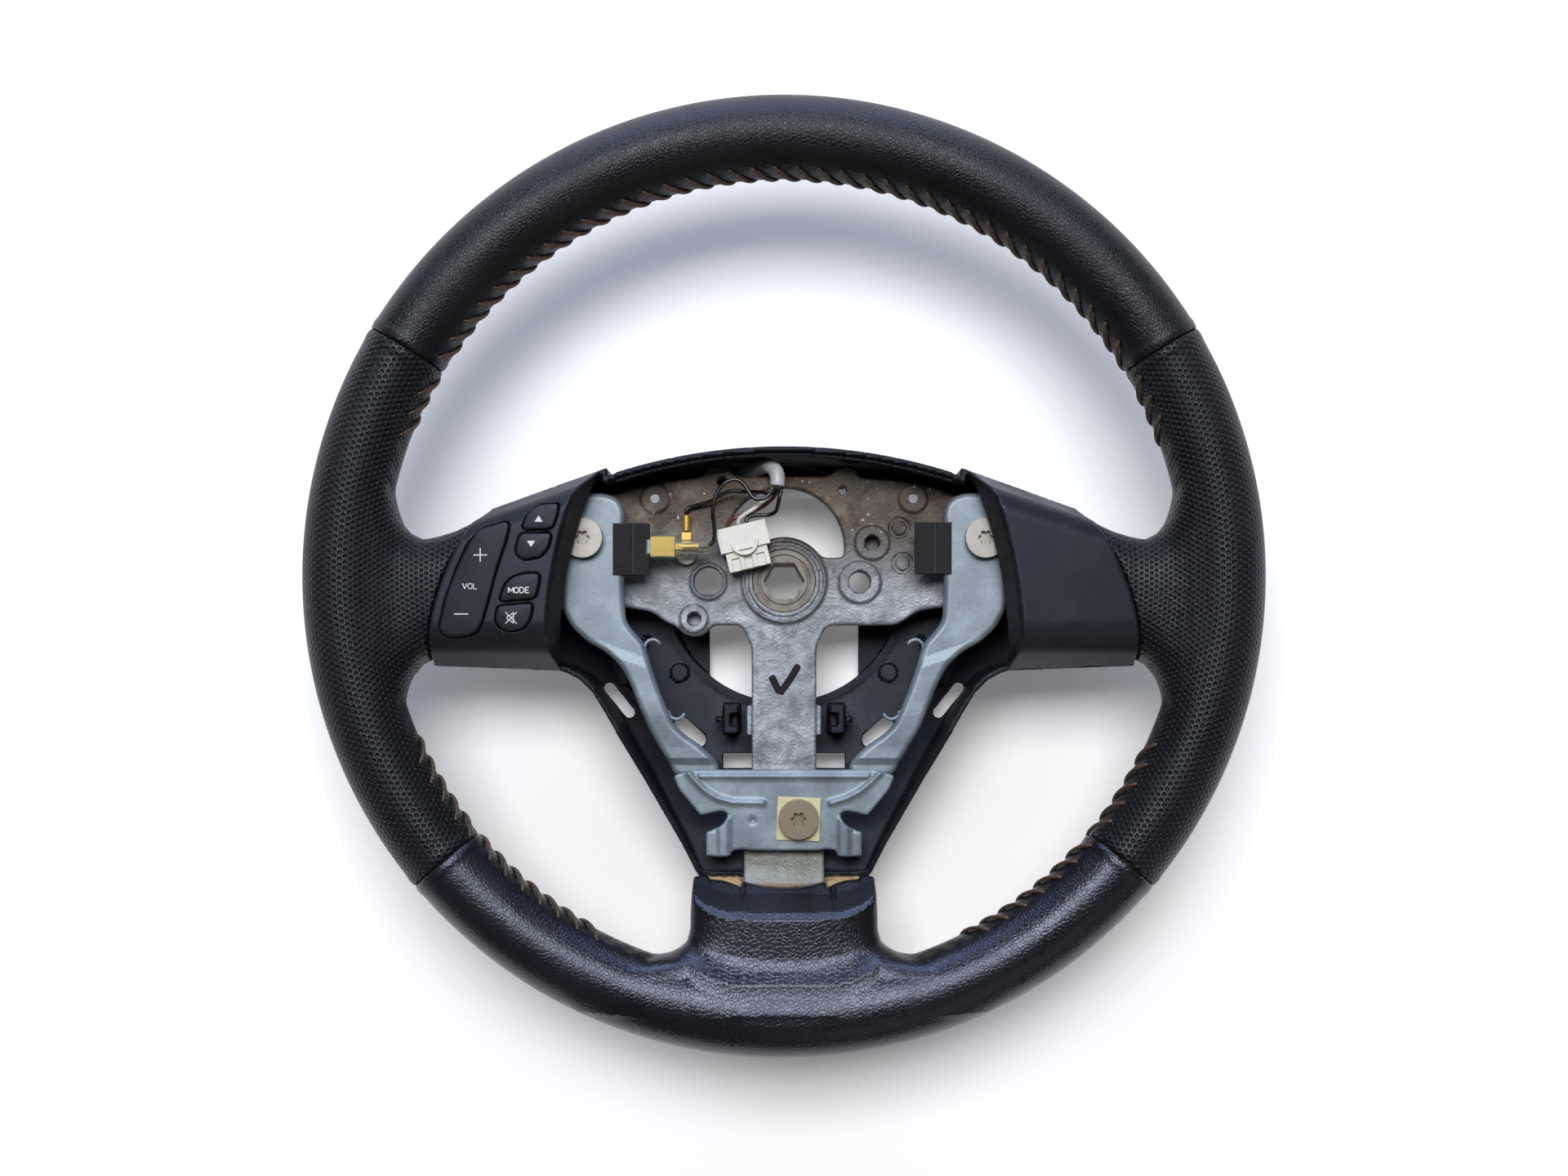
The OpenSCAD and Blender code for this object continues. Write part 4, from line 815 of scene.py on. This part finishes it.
LEFT_BEAD = [(-37.4, -76.6), (-35.1, -79.2), (-31.4, -83), (-26.4, -86.2), (-20.6, -87.8),
             (-8.4, -88.1)]
RIGHT_BEAD = [(37.6, -76.6), (34.6, -79.6), (29.8, -83.6), (24.6, -86.3), (18.6, -88.1)]


def pressed(outline, top, bend, depth):
    """A sheet pressed to that top, its edges rolled down to that depth."""
    outer = both(outline, -top, bend)
    inner = both(outline + SHEET_T, -top + SHEET_T, max(bend - SHEET_T, 0.3))
    return both(both(outer, -inner, 0.3), top - depth, 0.3)


def horn_arm(x, y, z, has_blade):
    """An arm: its lobe, its bends, the sunk tongue, the tape's tab and the terminal's."""
    plan = outline_gap(x, y, ARM_PLAN_ROUND)
    sunk = SHEET_T * np.clip((-70.4 - y) / 2.6, 0, 1)
    raised = 0.9 * np.clip((-29 - y - 0.35 * (x + 60)) / 4, 0, 1)
    raised = raised * np.clip((y + 66) / 12, 0, 1)
    top = HORN_TOP - sunk + raised * 0.6 - z
    body = both(pressed(plan, top, 2.4, 4.6), HORN_TOP - 4.6 - z, 0.3)
    body = both(body, -disc(x, y, -79, 16, 5.2), 0.4)
    low = HORN_TOP - SHEET_T
    tab = block(x, y, z, (-64, -54), (3.5, 20), (low, HORN_TOP), 0.5, 0.4)
    small = block(x, y, z, (-55, -46), (9.6, 15.9), (low, HORN_TOP - 0.4), 0.4, 0.3)
    return either(body, either(tab, small) if has_blade else tab, 0.4)


def hook_wires():
    """Routes of the left arm's two wire hooks, arcs of about 180 degrees."""
    routes = []
    for at_x, at_y, start, sweep in ((-51.9, -27, 20, 190), (-42.5, -52, 175, 170)):
        a = np.radians(start + np.linspace(0, sweep, 16))
        routes.append(np.stack([at_x + 3.2 * np.cos(a), at_y + 3.2 * np.sin(a),
                                0 * a + 43.0], 1))
    return np.array(routes)


def lower_plate(x, y, z):
    """The lower plate with its beads, its dimple and its rolled edges."""
    plan = outline_gap(x, y, LOWER_ROUND)
    beads = np.minimum(line_gap(x, y, [(-33, -77.6), (33, -77.6)], 0),
                       np.minimum(line_gap(x, y, LEFT_BEAD, 0), line_gap(x, y, RIGHT_BEAD, 0)))
    rise = 1.1 * np.exp(-(beads / 1.15) ** 2)
    ears = 0.9 * np.clip((np.abs(x) - 20.5) / 2, 0, 1) * np.clip((-93 - y) / 2, 0, 1)
    ears = ears * np.clip((27 - np.abs(x)) / 2, 0, 1)
    dimple = 0.9 * np.exp(-(np.hypot(x + 12.4, y + 95) / 1.3) ** 2)
    top = HORN_TOP + rise + ears - dimple - z
    body = both(both(plan, -top, 0.9), HORN_TOP - SHEET_T - z, 0.4)
    lug = block(np.abs(x), y, z, (26.5, 30.6), (-109, -99.5), (HORN_TOP - 5, HORN_TOP),
                0.5, 0.6)
    return both(either(body, lug, 0.5), -disc(x, y, 5.7, -94.4, 5.2), 0.3)


def zinc_sheet():
    """Steel sheet, zinc-plated and passivated to a pale steel blue.

    Its shine is broad and cool, with cloudy patches from the bath, a few dark scuffs along
    bends and fine rolling grain.
    """
    made, tree, shader, at = shader_of("zinc_plated_steel")
    cloud = noise(tree, at, 14, 5, Roughness=0.6)
    speck = noise(tree, at, 1.4, 4, Roughness=0.7)
    colour = ramp(tree, cloud, (0.3, "#6c7780"), (0.52, "#7d8992"), (0.72, "#95a1ab"))
    dark = spread(tree, speck, 0.62, 0.74, 0.0, 0.35)
    feed(tree, shader, {
        "Base Color": mix(tree, dark, colour, "#5b6468"), "Normal": bump(tree, speck, 0.05),
        "Roughness": spread(tree, cloud, 0.3, 0.7, 0.4, 0.5), "Metallic": 0.4})
    return made


ARM_PLAN_ROUND = rounded(ARM_OUTLINE, 3.2)
LOWER_ROUND = rounded(LOWER_HALF + [[-x, y] for x, y in LOWER_HALF[::-1]], 1.6)
zinc = zinc_sheet()
hooks, hook_faces = cords(hook_wires(), 0.75)
for side, flip in (("left", 1), ("right", -1)):
    skinned("horn_arm_" + side, lambda x, y, z: horn_arm(x, y, z, side == "left"),
            (-90, -81, 39), (-23, 36, 49), 0.65, zinc, "horn_plate", "bracket_arm_" + side,
            flip)
    piece("horn_hooks_" + side, hooks * [flip, 1, 1], [face[::flip] for face in hook_faces],
          zinc, "horn_plate")
skinned("horn_lower_plate", lower_plate, (-46, -111, 39), (46, -73, 49), 0.6, zinc,
        "horn_plate", "bracket_lower_plate")

# Spoke covers: moulded shells with leaning fronts and soft edges. The hub side ends in a
# grained band below a fine groove, and the left cover has windows for five keys.
FACE_Z = 71.0
FACE_SLOPE = 0.08
RIDGE_X = 85.0
PARTING_Z = 50.0
COVER_T = 2.2
KEY_GAP = 0.4
KEY_PROUD = 0.7
KEY_BASE = -3.6
KEY_PLANS = {
    "volume_rocker": [
        [-105.4, 20.6], [-104.3, 18.7], [-105.4, 14.2], [-109.3, 2.7], [-112.6, -9.8],
        [-115.4, -19.1], [-118.2, -22.2], [-126, -23.3], [-130.3, -22.5], [-131.6, -19.7],
        [-129.4, -9.8], [-125.4, 1.4], [-120.4, 12], [-116, 17.6]],
    "seek_up_button": [
        [-85.5, 27.3], [-93.7, 26.7], [-97.7, 23.2], [-99.8, 17.3], [-87.7, 17.6], [-85.5, 24.2]],
    "seek_down_button": [
        [-100.5, 15.9], [-88, 16.1], [-89.2, 10.5], [-92.7, 6.7], [-99.3, 5.9], [-102.3, 8.6]],
    "mode_button": [
        [-103.9, -0.8], [-99.3, 0.6], [-93, 0.9], [-92.7, -1.9], [-94.3, -8.8], [-108.5, -10],
        [-106.5, -4.1]],
    "mute_button": [
        [-109.3, -11.7], [-95.2, -10.4], [-96, -16.3], [-99.3, -20.5], [-106, -21.3],
        [-109.8, -18.5]]}
KEY_OUTLINES = {key: rounded(plan, 2.2) for key, plan in KEY_PLANS.items()}
FACE_COS = 1 / np.hypot(1, FACE_SLOPE)
FACE_SIN = FACE_SLOPE * FACE_COS


def cover_form(wide, y, z, inset):
    """The cover's padded form, inset on every side, before its outer end is cut."""
    x_top, y_top, slope_top = LINE_TOP
    x_low, y_low, slope_low = LINE_LOW
    face = (z - FACE_Z + FACE_SLOPE * (wide - RIDGE_X)) * FACE_COS + inset
    top = y - y_top - slope_top * (wide - x_top) + 0.35 * (z - PARTING_Z)
    low = y_low + slope_low * (wide - x_low) - y + 0.5 * (z - PARTING_Z)
    form = both(both(face, top / 1.12 + inset, 6 - inset), low / 1.12 + inset, 8 - inset)
    hub_cut = 179 + 0.2 * (z - 70) - np.hypot(wide + 88, y + 30)
    groove = 0.7 * np.exp(-((face + 2.3) / 0.55) ** 2) if not inset else 0
    return both(form, hub_cut / 1.02 + inset + groove, 0.9)


def spoke_cover(x, y, z):
    """A cover's shell on the left side, without its windows."""
    shell = both(cover_form(-x, y, z, 0), disc(-x, y, *EDGE_MIDDLE, EDGE_R), 1.2)
    shell = both(shell, -cover_form(-x, y, z, COVER_T), 0.4)
    foot = both(z - 52.2, np.maximum(-x - 94, np.abs(y - 3) - 34))
    return both(both(shell, PARTING_Z - z, 0.4), -foot, 0.3)


def key_body(key):
    """The body that a key's node rides on."""
    return key.rsplit("_", 1)[0] + "_key"


def on_face(x, z):
    """Place along the left cover's face and height over it."""
    return ((x + RIDGE_X) * FACE_COS + (z - FACE_Z) * FACE_SIN - RIDGE_X,
            (z - FACE_Z) * FACE_COS - (x + RIDGE_X) * FACE_SIN)


def off_face(points):
    """Points on the left cover's face (along, up, over it) as points of the wheel."""
    u, v, w = np.asarray(points, float).T
    return np.stack([(u + RIDGE_X) * FACE_COS - w * FACE_SIN - RIDGE_X, v,
                     FACE_Z + (u + RIDGE_X) * FACE_SIN + w * FACE_COS], -1)


def left_cover(x, y, z):
    """The left cover with a window round each key."""
    shell = spoke_cover(x, y, z)
    u, w = on_face(x, z)
    for outline in KEY_OUTLINES.values():
        hole = np.maximum(outline_gap(u, y, outline) - KEY_GAP, np.abs(w) - 5)
        shell = both(shell, -hole, 0.35)
    return shell


def key_cap(outline):
    """The field of a key in the face's own frame, a cap with soft edges and a faint dome."""
    def field(u, v, w):
        gap = outline_gap(u, v, outline)
        dome = 0.25 * (1 - np.exp(np.minimum(gap, 0) / 3))
        return both(gap, slab(w, KEY_BASE, KEY_PROUD - 0.15 + dome), 0.6)
    return field


cover_plastic = moulded_plastic("soft_cover_plastic", "#212329", 0.4, 0.35, 0.02, 0.05)
grained_plastic = moulded_plastic("grained_cover_plastic", "#141416", 0.55, 0.8, 0.14, 0.25)
key_plastic = moulded_plastic("key_plastic", "#17181b", 0.36, 0.3, 0.015, 0.05)


def grain_hub_end(made, normals, side):
    """Gives the faces that look towards the hub the grained plastic.

    The side is 1 for the left cover, whose hub end looks along X, and -1 for the right one.
    """
    mesh = made.data
    mesh.materials.append(grained_plastic)
    faces = np.empty(len(mesh.polygons) * 4, np.int32)
    mesh.polygons.foreach_get("vertices", faces)
    inward = normals[faces.reshape(-1, 4), 0].mean(1) * side > 0.75
    mesh.polygons.foreach_set("material_index", inward.astype(np.int32))


for side, field, step, flip in (("right", spoke_cover, 0.9, -1), ("left", left_cover, 0.65, 1)):
    made, normals = skinned("spoke_cover_" + side + "_shell", field, (-140, -40, 48),
                            (-62, 46, 73), step, cover_plastic, "wheel",
                            "spoke_cover_" + side, flip)
    grain_hub_end(made, normals, flip)
for key, outline in KEY_OUTLINES.items():
    low, high = np.min(outline, 0) - 1, np.max(outline, 0) + 1
    points, faces, normals = skin(key_cap(outline), (*low, KEY_BASE - 1),
                                  (*high, KEY_PROUD + 1), 0.5)
    turned = off_face(normals) - off_face(np.zeros((1, 3)))
    piece(key + "_cap", off_face(points), faces, key_plastic, key_body(key), key,
          normals=turned)

# Key legends: generic words and signs in white ink, laser-cut through the keys' lacquer.
# Each is drawn with strokes in the face's own frame.
INK_UP = 0.12
STROKE_POINTS = 40
MUTE_AT = np.array([-103.5, -16.1])
ROUND = [(0.4 + 0.4 * np.cos(a), 0.5 + 0.5 * np.sin(a)) for a in np.linspace(0, 2 * np.pi, 17)]
LETTERS = {
    "V": [[(0, 1), (0.4, 0), (0.8, 1)]],
    "O": [ROUND],
    "L": [[(0, 1), (0, 0), (0.65, 0)]],
    "M": [[(0, 0), (0, 1), (0.45, 0.3), (0.9, 1), (0.9, 0)]],
    "D": [[(0, 0), (0, 1), (0.35, 1), (0.7, 0.8), (0.78, 0.5), (0.7, 0.2), (0.35, 0), (0, 0)]],
    "E": [[(0.65, 1), (0, 1), (0, 0), (0.65, 0)], [(0, 0.52), (0.55, 0.52)]]}


def white_ink():
    """Matt white ink, a little yellowed."""
    made, tree, shader, at = shader_of("white_key_ink")
    feed(tree, shader, {"Base Color": "#dfdfdb", "Roughness": 0.6})
    return made


def legend(name, key, paths, width):
    """Strokes of one width on a key, each path a list of (along, up) in the face's frame."""
    routes = []
    for path in paths:
        path = np.asarray(path, float)
        steps = np.r_[0, np.cumsum(np.hypot(*np.diff(path, axis=0).T))]
        at = np.linspace(0, steps[-1], STROKE_POINTS)
        at[[np.abs(at - step).argmin() for step in steps]] = steps
        routes.append(np.stack([np.interp(at, steps, path[:, 0]),
                                np.interp(at, steps, path[:, 1]), 0 * at], 1))
    points, faces = cords(routes, width / 2, 8)
    points[:, 2] = KEY_PROUD + INK_UP - 0.08 + np.maximum(points[:, 2], 0) * 0.25
    piece("legend_" + name, off_face(points), faces, ink, key_body(key))


def word(text, centre, height, spacing):
    """The stroke paths of a word in capitals about a centre."""
    wide = height * 0.8 + spacing
    left = centre[0] - (len(text) * wide - spacing) / 2
    return [[(left + n * wide + x * height, centre[1] + (y - 0.5) * height) for x, y in path]
            for n, letter in enumerate(text) for path in LETTERS[letter]]


def solid_sign(centre, size, flip):
    """Strokes that fill a triangle standing on its base, or on its point when flipped."""
    strokes = []
    for t in np.linspace(0, 1, 7):
        half = size * (1 - t) / 2
        up = centre[1] + flip * size * 0.75 * (t - 0.45)
        strokes.append([(centre[0] - half, up), (centre[0] + half + 0.01, up)])
    return strokes


ink = white_ink()
for name, key, paths, width in (
        ("volume", "volume_rocker", word("VOL", (-119.3, -4.0), 2.1, 0.42), 0.42),
        ("plus", "volume_rocker", [[(-118.1, 7.8), (-112.7, 7.8)],
                                   [(-115.4, 10.5), (-115.4, 5.1)]], 0.5),
        ("minus", "volume_rocker", [[(-125.5, -14.6), (-120.0, -14.6)]], 0.5),
        ("seek_up", "seek_up_button", solid_sign((-92.9, 21.4), 2.9, 1), 0.42),
        ("seek_down", "seek_down_button", solid_sign((-95.8, 11.9), 2.9, -1), 0.42),
        ("mode", "mode_button", word("MODE", (-100.4, -5.6), 2.1, 0.5), 0.42),
        ("mute", "mute_button", [MUTE_AT + 1.3 * np.array(path) for path in (
            [(-1.1, -0.55), (-1.1, 0.55), (-0.5, 0.55), (0.7, 1.6), (0.7, -1.6),
             (-0.5, -0.55), (-1.1, -0.55)], [(-1.7, 1.7), (1.7, -1.7)],
            [(-1.7, -1.7), (1.7, 1.7)])], 0.36)):
    legend(name, key, paths, width)

# Wires: five copper leads in glossy vinyl, two of them part of the horn's circuit, and the
# pale sheath that brings them from the left cover round the back of the hub plate.
WIRE_R = 0.8
SHEATH_R = 3.0
WIRE_DYES = {"wire_white": ("white", "#d8d6d0"), "wire_brown": ("brown", "#5a2f22")}
WIRES = {
    "wire_white": [
        [-4.4, 36.4, 42.5], [-4.6, 35.2, 42.4], [-5.8, 33.4, 42], [-8.5, 30.8, 42.2],
        [-12, 28, 42.4], [-15.6, 25.8, 42], [-17.8, 24, 41.2], [-18.3, 21.95, 40.4]],
    "wire_brown": [
        [-2.7, 36.4, 42.5], [-2.9, 35.1, 42.2], [-4.2, 32.6, 40.6], [-8.5, 29.2, 38.8],
        [-14, 26.8, 37.8], [-19.5, 24.9, 37.2], [-21.6, 23, 36.8], [-22.1, 21.05, 36.5]],
    "wire_black": [
        [-1.1, 36.4, 42.7], [-1.2, 35, 42.8], [-1.8, 32.6, 43], [-2.4, 29.6, 42.4],
        [-3.4, 27, 40.8], [-6.4, 25.8, 39.8], [-10.4, 25.8, 39.6], [-13.2, 25.3, 39.8],
        [-14.7, 24.3, 40.1], [-14.9, 22.6, 40.3]],
    "wire_horn": [
        [-3.7, 36.4, 45.9], [-4.2, 35, 46.4], [-6, 32.8, 47.3], [-8.7, 31.4, 47.6],
        [-11.6, 31.6, 47.6], [-13.8, 34.2, 47.2], [-15.8, 37.2, 47], [-18.6, 38.9, 47],
        [-22.4, 38.2, 47], [-25.8, 34.8, 46.6], [-27.6, 30, 46.4], [-28, 25, 46],
        [-27.3, 19.2, 45.5], [-27.9, 14.9, 45.1], [-30.4, 13, 44.9], [-33.2, 12.8, 44.8]],
    "wire_ground": [
        [-1.7, 36.4, 45.2], [-2.1, 35.1, 44.9], [-3.6, 33.9, 44.3], [-6.4, 33.9, 43.9],
        [-9.4, 34.6, 42.4], [-12.4, 34.9, 40.4], [-15.5, 35.2, 38.4], [-20.8, 35.6, 37.4],
        [-24.7, 34.4, 36.6], [-28.7, 32, 35.8], [-33.8, 30.4, 34.6], [-37.6, 29.4, 33.8],
        [-39.1, 28, 33.7], [-39.1, 26.45, 33.6]]}
SHEATH = [
    [-97.4, 19, 57.6], [-96.8, 20.4, 51], [-95.4, 24, 43], [-93, 27, 35], [-87.5, 28.5, 26.6],
    [-80, 28, 22.6], [-71, 25, 19.4], [-60, 22.6, 17.8], [-49, 22.6, 17.4], [-39.5, 27.5, 17.4],
    [-31.5, 34.5, 17.4], [-24, 40.5, 18.2], [-17.5, 44, 20.8], [-12.5, 45.7, 25],
    [-9.8, 45.75, 30], [-7.4, 45.7, 36], [-5.4, 45, 40.5], [-3.3, 42.8, 43.2], [-2.5, 39.8, 44],
    [-2.8, 36.8, 44]]


def plain(name, colour, rough, metallic=0.0, mottle=0.0, size_mm=6.0, coat=0.0):
    """An even finish whose shine varies a little and whose colour darkens in soft blotches.

    It serves parts too small to show more: insulation, nylon, brass, steel and foam.
    """
    made, tree, shader, at = shader_of(name)
    cloud = noise(tree, at, size_mm, 4)
    dark = spread(tree, cloud, 0.45, 0.75, 0.0, mottle)
    feed(tree, shader, {
        "Base Color": mix(tree, dark, colour, "#2b241d"), "Metallic": metallic,
        "Roughness": spread(tree, cloud, 0.3, 0.7, rough - 0.04, rough + 0.06),
        "Coat Weight": coat})
    return made


for node, route in WIRES.items():
    dye, colour = WIRE_DYES.get(node, ("black", "#101114"))
    points, faces = cords([curve(route)], WIRE_R, 12)
    piece(node + "_lead", points, faces, plain(node + "_vinyl", colour, 0.25, coat=0.3),
          "wheel", node)
points, faces = cords([curve(SHEATH, 8)], SHEATH_R, 20)
piece("harness_sheath_tube", points, faces,
      plain("grey_sheath_vinyl", "#b9bcc0", 0.34, mottle=0.25), "wheel", "harness_sheath")

# Tick mark: an inspector's tick in black ink on the armature's leg, brushed on in two
# strokes, the second one long.
TICK = [[(-5.2, -38.0), (-4.0, -40.4), (-2.6, -43.2), (-1.6, -45.0)],
        [(-1.9, -45.4), (0.4, -42.4), (3.2, -38.2), (6.0, -33.6)]]
strokes = np.array([curve([[x, y, PLATE_Z] for x, y in stroke]) for stroke in TICK])
points, faces = cords(strokes, 1.7, 8)
points[:, 2] = PLATE_Z - 0.1 + np.maximum(points[:, 2] - PLATE_Z, 0) * 0.15
piece("tick_mark_ink", points, faces, plain("black_marking_ink", "#08080a", 0.8), "wheel")

# Rim foam: moulded polyurethane over the armature, tan where its crumbling ends show beside
# the leg at the bottom spoke, and hidden everywhere else.


def rim_foam(x, y, z):
    """The foam under the leathers, short of the leg's metal and ragged at its bottom end."""
    ring = np.hypot(np.hypot(x, y) - RIM_R, z - RIM_Z) - (GRIP_R - 1.6)
    inward = RIM_IN + y
    low = root_gap(inward, x, z - RIM_Z, BOTTOM_STATIONS, 1, 1) + 1.6
    ragged = 0.5 * np.sin(x * 2.1) + 0.4 * np.sin(x * 4.7 + z) + 0.3 * np.sin(z * 3.1 + y)
    low = both(low, inward - 36.6 + ragged, 0.5)
    low = both(low, -both(np.abs(x) - 16.4, 30 - inward), 0.5)
    sides = root_gap(RIM_IN - np.abs(x), y, z - RIM_Z, SIDE_STATIONS, 6, 5) + 1.6
    end = EDGE_R + 1 - disc(np.abs(x), y, *EDGE_MIDDLE, 0)
    return either(ring, either(low, both(sides, end)), 6)


skinned("rim_foam_core", rim_foam, (-186, -186, 35), (186, 186, 76), 1.7,
        plain("tan_foam", "#a98f66", 0.9, mottle=0.5, size_mm=3.0), "wheel", "rim_foam")

# Small parts: these keep their CAD shapes, because they are turned, moulded or stamped with
# plain faces. Most of their finishes round the edges by a fraction of a millimetre.
CREASE_X = 59.4
THREAD_MM = 0.7


def cloth_tape():
    """Black cotton tape: matt, with threads every 0.7 mm whose tops are a painted highlight.

    Each pad has a crease across it, where the tape turns down over the sheet's edge, and a grey
    line along the crease is a painted highlight.
    """
    made, tree, shader, at = shader_of("black_cloth_tape")
    threads = [add(tree, "TexWave", {"Vector": at, "Scale": 314 / THREAD_MM, "Distortion": 1.0,
                                     "Detail": 1.0}, bands_direction=way).outputs["Fac"]
               for way in ("X", "Y")]
    weave = maths(tree, "MULTIPLY", *threads)
    away = maths(tree, "ABSOLUTE", add(tree, "SeparateXYZ", {0: at}).outputs["X"])
    away = maths(tree, "ABSOLUTE", maths(tree, "SUBTRACT", away, CREASE_X / 1000))
    crease = spread(tree, away, 0.0001, 0.0005)
    # The lighter weave stop is a painted highlight on the threads' tops.
    cotton = ramp(tree, weave, (0.1, "#08080a"), (0.9, "#19191d"))
    worn = bump(tree, crease, 0.4, bump(tree, noise(tree, at, 9, 2), 0.8))
    # Painted highlight: the grey line along each crease.
    feed(tree, shader, {"Base Color": mix(tree, crease, "#3a3c40", cotton),
                        "Normal": bump(tree, weave, 0.12, worn), "Roughness": 0.75})
    return made


def clear_vinyl():
    """Clear vinyl gone a little green with age, glossy, with the blade showing through."""
    made, tree, shader, at = shader_of("clear_aged_vinyl")
    feed(tree, shader, {"Base Color": "#edf3e2", "Transmission Weight": 0.95,
                        "Roughness": 0.06, "IOR": 1.2})
    return made


def screw_finish():
    """Bright steel; the lower screw of the horn plate has a brown passivated coat."""
    made, tree, shader, at = shader_of("satin_screw_steel")
    upper = spread(tree, add(tree, "SeparateXYZ", {0: at}).outputs["Y"], -0.08, -0.07)
    feed(tree, shader, {
        "Base Color": ramp(tree, upper, (0.0, "#857667"), (1.0, "#a09c95")), "Metallic": 0.4,
        "Roughness": spread(tree, noise(tree, at, 3, 5), 0.3, 0.7, 0.4, 0.48)})
    return made


def round_edges(made, edge_mm):
    """Lets a finish shade its part's sharp edges as if they had that radius."""
    tree = made.node_tree
    soft = add(tree, "Bevel", {"Radius": edge_mm / 1000}, samples=6)
    feed(tree, tree.nodes["Principled BSDF"], {"Normal": soft.outputs[0]})
    return made


screw_steel = round_edges(screw_finish(), 0.5)
dark_steel = round_edges(plain("dark_spring_steel", "#5c5e62", 0.35, 1.0, 0.2), 0.2)
brass = round_edges(plain("tinned_brass", "#c29c53", 0.4, 0.55, 0.08, 4.0), 0.2)
hub_steel = round_edges(plain("turned_hub_steel", "#7a746c", 0.5, 0.4, 0.45, 4.0), 0.5)
nylon = round_edges(plain("white_connector_nylon", "#dad9d1", 0.4, mottle=0.06), 0.35)
cream = round_edges(plain("cream_bushing_nylon", "#cdc79c", 0.45, mottle=0.15), 0.4)
inner_black = plain("inner_black_plastic", "#1a1a1c", 0.5)
for node, finish in (("hub_sleeve", hub_steel), ("rim_ring", dark_steel),
                     ("rear_cover_screws", dark_steel), ("horn_springs", dark_steel),
                     ("horn_plate_screws", screw_steel), ("ground_screw", screw_steel),
                     ("horn_terminal", brass), ("ground_terminal", brass),
                     ("insulating_bushings", cream), ("connector_housing", nylon),
                     ("terminal_sleeve", clear_vinyl()), ("tape_pads", cloth_tape()),
                     ("switch_housing", inner_black),
                     ("switch_board", plain("green_circuit_board", "#1f4a2f", 0.5)),
                     ("keypad_mat", plain("grey_silicone", "#7c7f82", 0.6))):
    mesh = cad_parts[node].data
    mesh.materials.clear()
    mesh.materials.append(finish)
